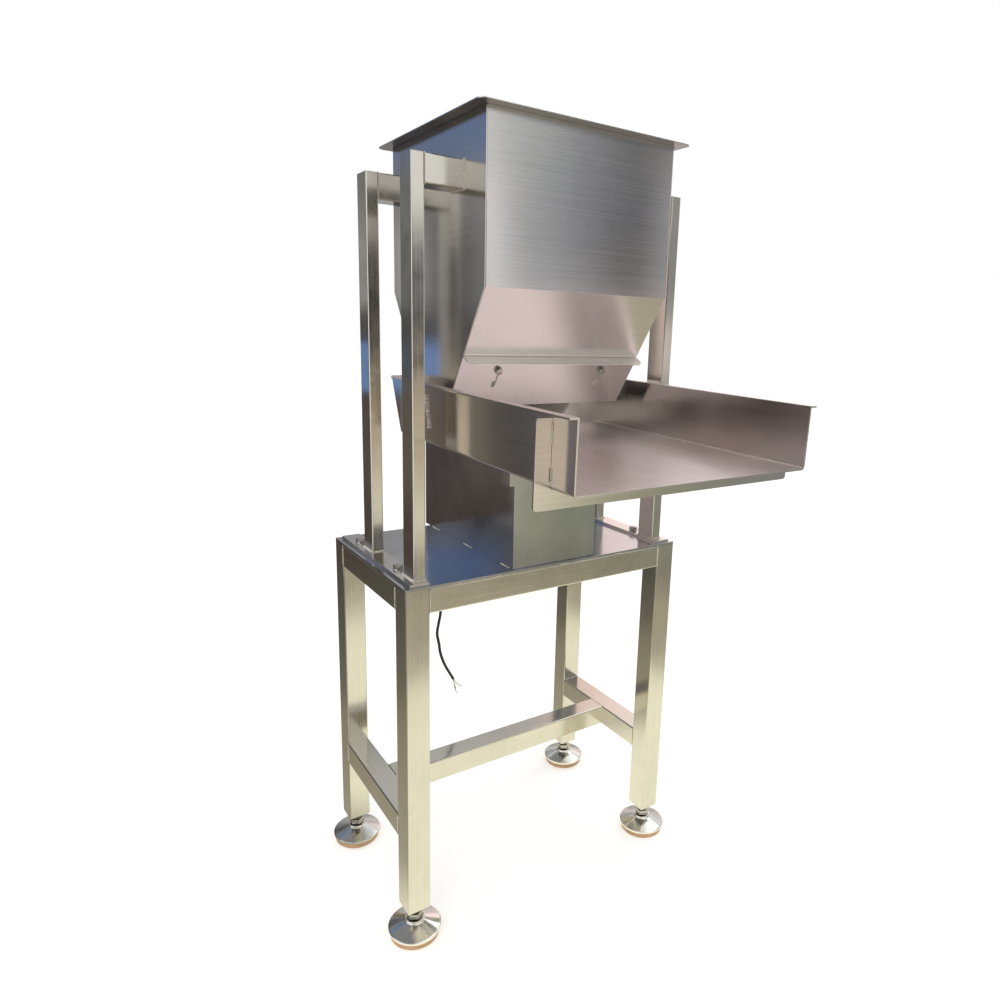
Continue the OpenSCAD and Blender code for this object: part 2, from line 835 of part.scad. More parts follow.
// Plate behind the magnet's core, down to the base
module magnet_bracket() {
    back = air_gap + core_leg_l + yoke_t;
    intersection() {
        leaning(magnet_y, magnet_z) translate([-core_half_w, back, -far / 2])
            cube([2 * core_half_w, bracket_t, far / 2 + core_half_h + 8]);
        translate([-far / 2, base_front_y, block_z - eps])
            cube([far, base_rear_y - base_front_y, far]);
    }
}

module isolators() {
    placed() color(rubber_black) at_isolators() translate([0, 0, table_top + isolator_plate_t])
        cylinder(h = isolator_h - 2 * isolator_plate_t, d = isolator_d);
}

module isolator_studs() {
    lower_l = plate_t + bolt_nut_h + 6;
    upper_l = base_t - 4;
    placed() color(bright_steel) at_isolators() {
        translate([0, 0, table_top]) cylinder(h = isolator_plate_t, d = isolator_d);
        translate([0, 0, table_top - lower_l]) cylinder(h = lower_l + eps, d = bolt_d);
        translate([0, 0, base_z - isolator_plate_t]) cylinder(h = isolator_plate_t, d = isolator_d);
        translate([0, 0, base_z - eps]) cylinder(h = upper_l + eps, d = bolt_d);
        translate([0, 0, rail_top - bolt_nut_h]) nut(bolt_af, bolt_d, bolt_nut_h);
    }
}

module magnet_core() {
    placed() color(dark_steel) leaning(magnet_y, magnet_z) difference() {
        translate([-core_half_w, air_gap, -core_half_h])
            cube([2 * core_half_w, core_leg_l + yoke_t, 2 * core_half_h]);
        for (x = [-1, 1]) {
            slot_x = x * (core_centre_w / 2 + core_half_w - core_side_w) / 2;
            slot = core_half_w - core_side_w - core_centre_w / 2;
            translate([slot_x, air_gap + core_leg_l / 2 - eps / 2, 0])
                cube([slot, core_leg_l + eps, 2 * core_half_h + 2 * eps], center = true);
        }
    }
}

module magnet_coil() {
    inner_w = core_centre_w / 2 + coil_gap;
    inner_h = core_half_h + coil_gap;
    y = [air_gap + 4, air_gap + core_leg_l - coil_gap];
    placed() color(copper) leaning(magnet_y, magnet_z)
        translate([0, (y[0] + y[1]) / 2, 0]) along_y(y[1] - y[0]) difference() {
            rounded_rect(2 * coil_half_w, 2 * coil_half_h, 8);
            square([2 * inner_w, 2 * inner_h], center = true);
        }
}

// Moving side of the drive

module carrier() {
    placed() color(cast_grey) difference() {
        union() {
            leaning_block(block_half_w, carrier_z, carrier_h);
            riser_webs();
            in_tray() top_plate();
            translate([-hanger_half_w - 20, riser_y[1] - 60, arm_z - eps])
                cube([2 * (hanger_half_w + 20), magnet_y + 25 - riser_y[1] + 60, arm_t + eps]);
            armature_hanger();
        }
        clamp_holes(upper_bar);
    }
}

module top_plate() {
    y = [for (v = top_plate_y) tray_local_y(v)];
    difference() {
        translate([-top_plate_half_w, y[0], -top_plate_t])
            cube([2 * top_plate_half_w, y[1] - y[0], top_plate_t]);
        at_tray_studs() translate([0, 0, -top_plate_t - eps])
            cylinder(h = top_plate_t + 2 * eps, d = bolt_d + 2 * bolt_clear);
    }
}

module at_tray_studs() {
    for (x = [-1, 1], v = stud_y) translate([x * stud_x, tray_local_y(v), 0]) children();
}

module riser_webs() {
    top = housing_top + tray_clear + tray_t;
    difference() {
        for (x = [-1, 1]) translate([x * (block_half_w - web_t / 2), 0, 0]) along_x(web_t) polygon([
            [riser_y[0], arm_z - eps], [riser_y[1], arm_z - eps],
            [top_plate_y[1], top], [top_plate_y[0], top],
        ]);
        in_tray() translate([-far / 2, 0, -top_plate_t + eps]) cube([far, far, far]);
    }
}

module armature_hanger() {
    intersection() {
        leaning(magnet_y, magnet_z) translate([-hanger_half_w, -2 * armature_t, -armature_half_h + 5])
            cube([2 * hanger_half_w, armature_t, far / 2]);
        translate([-far / 2, -far / 2, 0]) cube([far, far, arm_z + arm_t / 2]);
    }
}

module armature() {
    placed() color(dark_steel) leaning(magnet_y, magnet_z)
        translate([-armature_half_w, -armature_t, -armature_half_h])
            cube([2 * armature_half_w, armature_t, 2 * armature_half_h]);
}

module carrier_nuts() {
    placed() color(bright_steel) in_tray() at_tray_studs() {
        translate([0, 0, -stud_l]) cylinder(h = stud_l, d = bolt_d);
        translate([0, 0, -top_plate_t - bolt_nut_h]) nut(bolt_af, bolt_d, bolt_nut_h);
    }
}

// Housing

module housing_shell() {
    half = housing_w / 2;
    rear = housing_rear_y - housing_t;
    l = rear - housing_front_y;
    h = housing_top - table_top;
    opening_half = block_half_w + opening_clear;
    placed() color(dark_steel) difference() {
        translate([-half, housing_front_y, table_top]) cube([housing_w, l, h]);
        translate([housing_t - half, housing_front_y + housing_t, table_top - eps])
            cube([housing_w - 2 * housing_t, l - 2 * housing_t, h - housing_t + eps]);
        translate([cover_fold - half, rear - 2 * housing_t, table_top - eps])
            cube([housing_w - 2 * cover_fold, 3 * housing_t, h - cover_fold + eps]);
        translate([-opening_half, opening_y[0], housing_top - 2 * housing_t])
            cube([2 * opening_half, opening_y[1] - opening_y[0], 3 * housing_t]);
        at_cover_screws() translate([0, 0, -3 * housing_t])
            cylinder(h = 4 * housing_t, d = cover_screw_d + 2 * thread_clear);
    }
}

// Places children on the rear cover's screws, with Z pointing back
module at_cover_screws() {
    h = housing_top - table_top;
    for (x = [-1, 1], z = [0.12, 0.5, 0.92])
        translate([x * (housing_w / 2 - cover_screw_in), housing_rear_y - housing_t, table_top + z * h])
            rotate([-90, 0, 0]) children();
}

module housing_rear_cover() {
    placed() color(dark_steel) {
        difference() {
            translate([-housing_w / 2, housing_rear_y - housing_t, table_top])
                cube([housing_w, housing_t, housing_top - table_top]);
            at_cover_screws() translate([0, 0, -eps])
                cylinder(h = housing_t + 2 * eps, d = cover_screw_d + 2 * thread_clear);
        }
        at_cover_screws() {
            translate([0, 0, housing_t + seat_gap]) cylinder(h = cover_screw_head, d = cover_screw_head_d);
            translate([0, 0, -2 * housing_t - 3]) cylinder(h = 3 * housing_t + 4, d = cover_screw_d);
        }
    }
}

// Cable

module cable_gland() {
    bore = cable_d - 1;
    thread_l = plate_t + gland_nut_h + 4;
    placed() color(cable_black) translate([gland_x, gland_y, 0]) {
        difference() {
            union() {
                translate([0, 0, cable_exit_z]) cylinder(h = 4, d1 = 13, d2 = gland_cap_af);
                translate([0, 0, cable_exit_z + 4]) hex_prism(gland_cap_af, gland_cap_h - 4);
                translate([0, 0, rail_top - gland_flange_h]) hex_prism(gland_hex_af, gland_flange_h);
                translate([0, 0, rail_top - eps]) cylinder(h = thread_l + eps, d = gland_thread_d);
            }
            translate([0, 0, cable_exit_z - eps]) cylinder(h = far, d = bore);
        }
        translate([0, 0, table_top]) nut(gland_hex_af - 2, gland_thread_d, gland_nut_h);
    }
}

module power_cable() {
    placed() color(cable_black) translate([gland_x, gland_y, cable_exit_z])
        swept(cable_route, cable_d, cable_sides, 2);
}

module cable_conductors() {
    placed() color(copper) translate([gland_x, gland_y, cable_exit_z])
        for (route = wire_routes) swept(route, wire_d, wire_sides, 3);
}

// Feet

module at_foot(sx, sy) {
    placed() translate([sx * leg_x, sy * leg_y, 0]) children();
}

module lock_nuts() {
    color(bright_steel) for (sx = [-1, 1], sy = [-1, 1]) at_foot(sx, sy)
        translate([0, 0, foot_h - lock_nut_h]) nut(lock_nut_af, stud_d, lock_nut_h);
}

module foot_stud(sx, sy) {
    color(bright_steel) at_foot(sx, sy) {
        translate([0, 0, ball_z]) sphere(d = ball_d);
        translate([0, 0, ball_z]) cylinder(h = hex_z - ball_z + eps, d = neck_d);
        translate([0, 0, hex_z]) hex_prism(hex_af, hex_h);
        translate([0, 0, hex_z + hex_h - eps]) cylinder(h = foot_h + stud_in_leg - hex_z - hex_h, d = stud_d);
    }
}

module foot_base(sx, sy) {
    profile = [
        [0, pad_t], [foot_d / 2, pad_t], [foot_d / 2, pad_t + rim_h],
        [foot_d / 2 - 2.5, pad_t + rim_h + 2], [hub_d / 2 + 1.5, hub_top - 6],
        [hub_d / 2, hub_top - 4.5], [hub_d / 2, hub_top - 1], [hub_d / 2 - 1, hub_top], [0, hub_top],
    ];
    color(bright_steel) at_foot(sx, sy) difference() {
        rotate_extrude() polygon(profile);
        translate([0, 0, ball_z]) sphere(d = ball_d + 2 * swivel_gap);
        translate([0, 0, ball_z]) cylinder(h = hub_top, d = hub_mouth_d);
    }
}

module foot_pad(sx, sy) {
    color(pad_tan) at_foot(sx, sy) rotate_extrude() polygon([
        [0, 0], [pad_d / 2 - pad_chamfer, 0], [pad_d / 2, pad_chamfer], [pad_d / 2, pad_t], [0, pad_t],
    ]);
}

leg(-1, -1);  // leg_front_left
leg(1, -1);  // leg_front_right
leg(-1, 1);  // leg_rear_left
leg(1, 1);  // leg_rear_right
rail_x(-leg_y, rail_top - tube_w / 2);  // rail_front
rail_x(leg_y, rail_top - tube_w / 2);  // rail_rear
side_rail(-1);  // rail_left
side_rail(1);  // rail_right
rail_y(-leg_x, foot_h + stretcher_h + tube_w / 2);  // stretcher_left
rail_y(leg_x, foot_h + stretcher_h + tube_w / 2);  // stretcher_right
rail_x(0, foot_h + stretcher_h + tube_w / 2);  // stretcher_centre
table_plate();
base_strips();
strip_bolts();
post(-1, post_front_y);  // post_front_left
post(1, post_front_y);  // post_front_right
post(-1, post_rear_y);  // post_rear_left
post(1, post_rear_y);  // post_rear_right
hopper_arms();
hopper_front();
hopper_rear();
hopper_side(-1);  // hopper_side_left
hopper_side(1);  // hopper_side_right
hopper_flange();
gate();
gate_screws();
tray_pan();
tray_rear_panel();
tray_collar();
tray_skirt();
carrier();
carrier_nuts();
armature();
upper_clamps();
front_leaf_springs();
rear_leaf_springs();
drive_base();
lower_clamps();
isolators();
isolator_studs();
magnet_core();
magnet_coil();
housing_shell();
housing_rear_cover();
cable_gland();
power_cable();
cable_conductors();
lock_nuts();
foot_stud(-1, -1);  // foot_stud_front_left
foot_stud(1, -1);  // foot_stud_front_right
foot_stud(-1, 1);  // foot_stud_rear_left
foot_stud(1, 1);  // foot_stud_rear_right
foot_base(-1, -1);  // foot_base_front_left
foot_base(1, -1);  // foot_base_front_right
foot_base(-1, 1);  // foot_base_rear_left
foot_base(1, 1);  // foot_base_rear_right
foot_pad(-1, -1);  // foot_pad_front_left
foot_pad(1, -1);  // foot_pad_front_right
foot_pad(-1, 1);  // foot_pad_rear_left
foot_pad(1, 1);  // foot_pad_rear_right
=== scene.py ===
"""Looks and studio for the vibratory feeder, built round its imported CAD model."""

import json
import math

import bmesh
import bpy
from bpy.props import FloatProperty, FloatVectorProperty, IntProperty, PointerProperty
from mathutils import Matrix, Vector

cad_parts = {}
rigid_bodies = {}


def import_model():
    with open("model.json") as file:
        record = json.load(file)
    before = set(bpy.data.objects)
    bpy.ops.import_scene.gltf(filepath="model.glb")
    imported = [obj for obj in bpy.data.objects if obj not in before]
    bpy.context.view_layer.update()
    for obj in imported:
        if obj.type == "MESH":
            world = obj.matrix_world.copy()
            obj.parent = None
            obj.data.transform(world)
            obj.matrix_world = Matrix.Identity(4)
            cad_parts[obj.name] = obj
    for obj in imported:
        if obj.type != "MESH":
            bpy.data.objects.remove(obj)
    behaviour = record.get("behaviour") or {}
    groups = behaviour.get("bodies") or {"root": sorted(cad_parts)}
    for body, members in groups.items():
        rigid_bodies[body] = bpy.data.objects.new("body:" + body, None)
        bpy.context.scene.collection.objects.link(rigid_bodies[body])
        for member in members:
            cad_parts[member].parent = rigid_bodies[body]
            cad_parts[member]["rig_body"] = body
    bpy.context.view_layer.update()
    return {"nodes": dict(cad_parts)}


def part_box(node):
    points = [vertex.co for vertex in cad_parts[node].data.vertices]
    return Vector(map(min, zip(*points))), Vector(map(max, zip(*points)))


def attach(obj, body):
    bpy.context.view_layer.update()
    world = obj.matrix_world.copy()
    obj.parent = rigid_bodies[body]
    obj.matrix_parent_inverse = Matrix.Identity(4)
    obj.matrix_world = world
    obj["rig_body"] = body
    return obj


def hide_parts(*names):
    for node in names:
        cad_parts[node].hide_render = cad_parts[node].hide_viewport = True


bl_info = {
    "name": "Vibratory feeder",
    "version": (1, 0, 0),
    "blender": (4, 5, 0),
    "location": "3D View > Sidebar > Feeder",
    "description": "Finishes, fastenings, welds, cable and studio of a vibratory feeder",
    "category": "Object",
}

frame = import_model()
NODES = frame["nodes"]

X, Y, Z = 0, 1, 2
AXES = {"x": X, "y": Y, "z": Z}
UP, DOWN = Vector((0, 0, 1)), Vector((0, 0, -1))
# The stand's middle lies behind the middle of the whole machine, which is the frame's origin
TABLE_Y = sum(corner.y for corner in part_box("table_plate")) / 2
STRIP_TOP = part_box("base_strips")[1].z
# Where the legs stand, from the stand's middle
LEGS = {"front_left": (-0.315, -0.175), "front_right": (0.315, -0.175), "rear_left": (-0.315, 0.175),
        "rear_right": (0.315, 0.175)}
# How far the hopper's slope and its gate lean from upright
SLOPE = math.radians(33)


def on_stand(x, y, z=0.0):
    """A point in the frame, given from the middle of the stand's footprint."""
    return x, y + TABLE_Y, z


def linear(code):
    """An sRGB hex colour as three linear values."""
    parts = [int(code[i:i + 2], 16) / 255 for i in (1, 3, 5)]
    return tuple(c / 12.92 if c <= 0.04045 else ((c + 0.055) / 1.055) ** 2.4 for c in parts)


def node(tree, kind, inputs=None, stops=None, **settings):
    """Adds a node, applies its settings and ramp stops, and sets or links its inputs."""
    made = tree.nodes.new(kind)
    for key, value in settings.items():
        setattr(made, key, value)
    if stops:
        band = made.color_ramp.elements
        while len(band) < len(stops):
            band.new(1.0)
        for element, (place, tone) in zip(band, stops):
            element.position = place
            element.color = (*tone, 1) if hasattr(tone, "__len__") else (tone, tone, tone, 1)
    for key, value in (inputs or {}).items():
        if isinstance(value, bpy.types.NodeSocket):
            tree.links.new(value, made.inputs[key])
        else:
            made.inputs[key].default_value = value
    return made


def empty_tree(made):
    """The node tree of a new material or world, cleared."""
    made.use_nodes = True
    made.node_tree.nodes.clear()
    return made.node_tree


def meshed(name, shape, materials):
    """An object at the origin with the mesh of a finished shape."""
    mesh = bpy.data.meshes.new(name)
    shape.to_mesh(mesh)
    shape.free()
    for material in materials:
        mesh.materials.append(material)
    made = bpy.data.objects.new(name, mesh)
    bpy.context.scene.collection.objects.link(made)
    return made


# Settings


class FeederView(bpy.types.PropertyGroup):
    """Where the camera stands."""

    place: FloatVectorProperty(
        name="Camera", description="Where the camera stands", subtype="TRANSLATION", unit="LENGTH",
        default=(-0.8434, -1.2029, 1.2442))
    azimuth: FloatProperty(
        name="Azimuth", description="Direction of the camera round the feeder, from its front", subtype="ANGLE",
        default=math.radians(-34.61))
    elevation: FloatProperty(
        name="Elevation", description="How far the camera looks down", subtype="ANGLE", default=math.radians(11.5))
    roll: FloatProperty(name="Roll", description="Turn of the picture", subtype="ANGLE", default=math.radians(1.8))
    lens: FloatProperty(name="Lens", description="Focal length on a 36 mm sensor", subtype="DISTANCE_CAMERA",
                        default=25.952)
    shift: FloatVectorProperty(name="Shift", description="Shift of the picture's centre", size=2,
                               default=(-0.0497, -0.0205))


class FeederFinish(bpy.types.PropertyGroup):
    """Colours and surface sizes of the feeder's finishes."""

    tube: FloatVectorProperty(name="Tube", description="Tone of the satin tube", subtype="COLOR",
                              default=linear("#d6d2c8"))
    sheet: FloatVectorProperty(name="Sheet", description="Tone of the brushed sheet", subtype="COLOR",
                               default=linear("#e0dbd7"))
    plate: FloatVectorProperty(name="Plate", description="Tone of the mill-finished plate", subtype="COLOR",
                               default=linear("#c3c3c6"))
    polish: FloatVectorProperty(name="Polish", description="Tone of the polished feet", subtype="COLOR",
                                default=linear("#e9e7e4"))
    screw: FloatVectorProperty(name="Fastener", description="Tone of the screws and nuts", subtype="COLOR",
                               default=linear("#bdbab4"))
    pad: FloatVectorProperty(name="Pad", description="Colour of the feet's rubber pads", subtype="COLOR",
                             default=linear("#dcb48a"))
    cast: FloatVectorProperty(name="Casting", description="Colour of the painted castings", subtype="COLOR",
                              default=linear("#5b6066"))
    jacket: FloatVectorProperty(name="Cable", description="Colour of the cable's jacket", subtype="COLOR",
                                default=linear("#1b1b1d"))
    tube_grain: FloatProperty(name="Tube grain", description="Width of one grinding line on the tube",
                              unit="LENGTH", default=0.0015)
    sheet_grain: FloatProperty(name="Sheet grain", description="Width of one brushing line on the sheet",
                               unit="LENGTH", default=0.0012)
    edge: FloatProperty(name="Edge", description="Rounding of a deburred sheet edge", unit="LENGTH",
                        default=0.0004)
    corner: FloatProperty(name="Hopper corner", description="Rounding of the hopper's welded corners",
                          unit="LENGTH", default=0.0012)
    bead: FloatProperty(name="Bead", description="Width of the weld beads", unit="LENGTH", default=0.006)


class FeederCable(bpy.types.PropertyGroup):
    """Sizes of the cable that hangs under the table."""

    thickness: FloatProperty(name="Thickness", description="Diameter of the cable", unit="LENGTH", default=0.007)
    wire: FloatProperty(name="Wire", description="Diameter of one bare wire", unit="LENGTH", default=0.002)
    smoothness: IntProperty(name="Smoothness", description="Steps between two points of the cable's line",
                            default=6, min=2, max=12)


class FeederStudio(bpy.types.PropertyGroup):
    """Floor, lamps and the soft panels round the set."""

    floor: FloatVectorProperty(name="Floor", description="Colour of the floor", subtype="COLOR",
                               default=linear("#f4f3f1"))
    sky: FloatProperty(name="Sky", description="Level of the light from all round", default=0.75, min=0)
    key: FloatProperty(name="Key", description="Power of the main soft lamp", subtype="POWER", default=16)
    fill: FloatProperty(name="Fill", description="Power of the filling lamp", subtype="POWER", default=10)
    ring: FloatProperty(name="Ring", description="Radius of the ring of soft panels", unit="LENGTH", default=2.6)
    ceiling: FloatProperty(name="Ceiling", description="Height of the soft ceiling over the ring", unit="LENGTH",
                           default=2.6)


# Shapes


def weighted(made):
    """Keeps flat faces flat beside their rounded edges."""
    flat = made.modifiers.new("flat_faces", "WEIGHTED_NORMAL")
    flat.keep_sharp = True
    flat.weight = 60


def piece(name, shape, body, finishes, replaces=(), sharp=40, flat=True):
    """Makes a finished object at the origin from a bmesh and lets it ride on a CAD body."""
    for face in shape.faces:
        face.smooth = True
    for edge in shape.edges:
        edge.smooth = not (edge.is_manifold and edge.calc_face_angle() > math.radians(sharp))
    made = meshed(name, shape, finishes)
    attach(made, body)
    if replaces:
        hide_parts(*replaces)
    if flat:
        weighted(made)
    return made


def softened(name, finishes, width, segments=2, looks=UP):
    """A copy of a CAD node's shape with its sharp edges rounded, which stands for the node. Where there are two
    finishes, the second is for the faces that look a given way."""
    source = NODES[name]
    shape = bmesh.new()
    shape.from_mesh(source.data)
    for face in shape.faces:
        face.material_index = 0
    # The CAD's triangles go back to whole flat faces, and its bends keep their facets
    bmesh.ops.remove_doubles(shape, verts=shape.verts, dist=1e-6)
    bmesh.ops.dissolve_limit(shape, angle_limit=math.radians(0.4), verts=shape.verts, edges=shape.edges)
    sharp = [e for e in shape.edges if e.is_manifold and e.calc_face_angle() > math.radians(30)]
    bmesh.ops.bevel(shape, geom=sharp, offset=width, segments=segments, affect="EDGES", profile=0.5,
                    material=-1, clamp_overlap=False)
    for face in shape.faces:
        face.material_index = int(len(finishes) > 1 and face.normal.dot(looks) > 0.9)
    return piece(name + "_finished", shape, source["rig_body"], finishes, (name,))


def dress(names, material):
    """Gives carried-over CAD nodes their finish."""
    for name in names:
        mesh = NODES[name].data
        mesh.materials.clear()
        mesh.materials.append(material)
        for face in mesh.polygons:
            face.material_index = 0


def joined(shape, part, at):
    """Adds a finished part to a shape, in its place."""
    bmesh.ops.transform(part, matrix=at, verts=part.verts)
    mesh = bpy.data.meshes.new("part")
    part.to_mesh(mesh)
    part.free()
    shape.from_mesh(mesh)
    bpy.data.meshes.remove(mesh)


def turned(shape, outline, at, steps):
    """Turns an outline of (radius, height) points round Z into a closed solid, as a lathe does."""
    part = bmesh.new()
    verts = [part.verts.new((r, 0, z)) for r, z in outline]
    edges = [part.edges.new(pair) for pair in zip(verts, verts[1:])]
    bmesh.ops.spin(part, geom=verts + edges, cent=(0, 0, 0), axis=(0, 0, 1), angle=math.tau, steps=steps,
                   use_merge=True, use_duplicate=False)
    bmesh.ops.remove_doubles(part, verts=part.verts, dist=1e-7)
    bmesh.ops.recalc_face_normals(part, faces=part.faces)
    joined(shape, part, at)


def threaded(shape, radius, pitch, low, high, at, steps=14):
    """A metric thread: one V spun up the stud, 0.61 of its pitch deep."""
    part = bmesh.new()
    root = radius - 0.61 * pitch
    verts = [part.verts.new(p) for p in ((root, 0, low), (radius, 0, low + 0.5 * pitch), (root, 0, low + pitch))]
    edges = [part.edges.new(pair) for pair in zip(verts, verts[1:])]
    turns = math.floor((high - low) / pitch)
    bmesh.ops.spin(part, geom=verts + edges, cent=(0, 0, 0), axis=(0, 0, 1), dvec=(0, 0, pitch / steps),
                   angle=math.tau * turns, steps=steps * turns, use_duplicate=False)
    bmesh.ops.remove_doubles(part, verts=part.verts, dist=1e-6)
    bmesh.ops.recalc_face_normals(part, faces=part.faces)
    joined(shape, part, at)


def hexagon(shape, flats, low, high, at, chamfer, both=False):
    """A hexagon along Z with its upper end or both chamfered, as turned bar stock has."""
    part = bmesh.new()
    bmesh.ops.create_cone(part, cap_ends=True, segments=6, radius1=flats / math.sqrt(3),
                          radius2=flats / math.sqrt(3), depth=high - low,
                          matrix=Matrix.Translation((0, 0, (low + high) / 2)))
    ends = [high, low] if both else [high]
    rims = [e for e in part.edges if any(all(abs(v.co.z - end) < 1e-7 for v in e.verts) for end in ends)]
    bmesh.ops.bevel(part, geom=rims, offset=chamfer, segments=2, affect="EDGES", profile=0.5, material=-1,
                    clamp_overlap=True)
    joined(shape, part, at)


def washer(shape, outer, bore, low, high, at):
    """A flat ring along Z with a softened upper rim."""
    rim = 2e-4
    turned(shape, [(bore, low), (outer, low), (outer, high - rim), (outer - rim, high), (bore, high), (bore, low)],
           at, 36)


def hardware(name, shape, body):
    """The turned fasteners that stand for a CAD node. Their edges are crisp from 25 degrees on."""
    piece(name + "_finished", shape, body, [finish("machined_fastener")], (name,), sharp=25, flat=False)


def bead(shape, start, end, width, seed=0):
    """A weld bead: a round run whose ripples vary a little in width."""
    run = Vector(end) - Vector(start)
    count = max(3, round(run.length / (0.42 * width)))
    pitch = run.length / count
    outline = [(0, 0)]
    for i in range(count):
        size = 0.5 * width * (1 + 0.12 * math.sin(2.7 * i + seed) + 0.07 * math.sin(6.1 * i + 2 * seed))
        outline += [(0.74 * size, (i + 0.08) * pitch), (size, (i + 0.62) * pitch)]
    outline.append((0, run.length))
    turned(shape, outline, Matrix.Translation(start) @ run.to_track_quat("Z", "Y").to_matrix().to_4x4(), 9)


# Finishes


# The part of a noise's range that shows, from its dark tone to its light one
NOISE_LOW, NOISE_HIGH = 0.36, 0.64


def metal(name, tone, roughness, grain, along, depth, drift=0.05, length=0.09, stretch=0.0, clouds=0.06,
          spread=0.04, shown=0.5):
    """A bare metal whose tool lines run along one axis, or along none. grain is the width of a line, length its
    length and depth its height, stretch how far the lines pull a reflection, clouds the size of the soft patches
    that rolling and handling leave, drift and spread how much tone and roughness vary, and shown the share that
    the lines have in that."""
    made = bpy.data.materials.new(name)
    tree = empty_tree(made)
    place = node(tree, "ShaderNodeTexCoord").outputs["Object"]
    scale = [1 / grain] * 3
    if along is not None:
        scale[along] = 1 / length
    laid = node(tree, "ShaderNodeMapping", {"Vector": place, "Scale": scale})
    lines = node(tree, "ShaderNodeTexNoise", {"Vector": laid.outputs[0], "Scale": 1.0, "Detail": 2.0,
                                              "Roughness": 0.55})
    patches = node(tree, "ShaderNodeTexNoise", {"Vector": place, "Scale": 1 / clouds, "Detail": 3.0,
                                                "Roughness": 0.55, "Distortion": 0.6})
    dark = tuple(c * (1 - 2 * drift) for c in tone)
    light = tuple(min(1, c * (1 + drift)) for c in tone)
    mixed = node(tree, "ShaderNodeMix", {0: shown, 2: patches.outputs["Fac"], 3: lines.outputs["Fac"]})
    colour = node(tree, "ShaderNodeValToRGB", {"Fac": mixed.outputs[0]},
                  stops=[(NOISE_LOW, dark), (NOISE_HIGH, light)])
    rough = node(tree, "ShaderNodeMapRange", {
        "Value": mixed.outputs[0], "From Min": NOISE_LOW, "From Max": NOISE_HIGH, "To Min": roughness - spread,
        "To Max": roughness + spread})
    relief = node(tree, "ShaderNodeBump", {"Height": lines.outputs["Fac"], "Distance": depth})
    surface = node(tree, "ShaderNodeBsdfPrincipled", {
        "Base Color": colour.outputs["Color"], "Metallic": 1.0, "Roughness": rough.outputs[0],
        "Normal": relief.outputs[0]})
    if stretch and along is not None:
        surface.inputs["Anisotropic"].default_value = stretch
        # A little askew, so that the end faces of a tube have a direction too
        axis = [0.012, 0.008, 0.010]
        axis[along] = 1.0
        normal = node(tree, "ShaderNodeNewGeometry").outputs["Normal"]
        across = node(tree, "ShaderNodeVectorMath", {0: normal, 1: axis}, operation="CROSS_PRODUCT")
        tree.links.new(across.outputs[0], surface.inputs["Tangent"])
    node(tree, "ShaderNodeOutputMaterial", {"Surface": surface.outputs[0]})
    return made


def plain(name, tone, roughness, size, depth, drift=0.12, specular=0.5):
    """A moulded, painted or rubber surface with a fine texture of the given size."""
    made = bpy.data.materials.new(name)
    tree = empty_tree(made)
    place = node(tree, "ShaderNodeTexCoord").outputs["Object"]
    fine = node(tree, "ShaderNodeTexNoise", {"Vector": place, "Scale": 1 / size, "Detail": 2.0})
    patches = node(tree, "ShaderNodeTexNoise", {"Vector": place, "Scale": 40.0, "Detail": 3.0, "Roughness": 0.6})
    dark = tuple(c * (1 - drift) for c in tone)
    light = tuple(c * (1 + drift / 2) for c in tone)
    colour = node(tree, "ShaderNodeValToRGB", {"Fac": patches.outputs["Fac"]}, stops=[(0.3, dark), (0.7, light)])
    rough = node(tree, "ShaderNodeMapRange", {"Value": patches.outputs["Fac"], "To Min": roughness - 0.08,
                                              "To Max": roughness + 0.08})
    relief = node(tree, "ShaderNodeBump", {"Height": fine.outputs["Fac"], "Distance": depth, "Strength": 0.6})
    surface = node(tree, "ShaderNodeBsdfPrincipled", {
        "Base Color": colour.outputs["Color"], "Roughness": rough.outputs[0], "Specular IOR Level": specular,
        "Normal": relief.outputs[0]})
    node(tree, "ShaderNodeOutputMaterial", {"Surface": surface.outputs[0]})
    return made


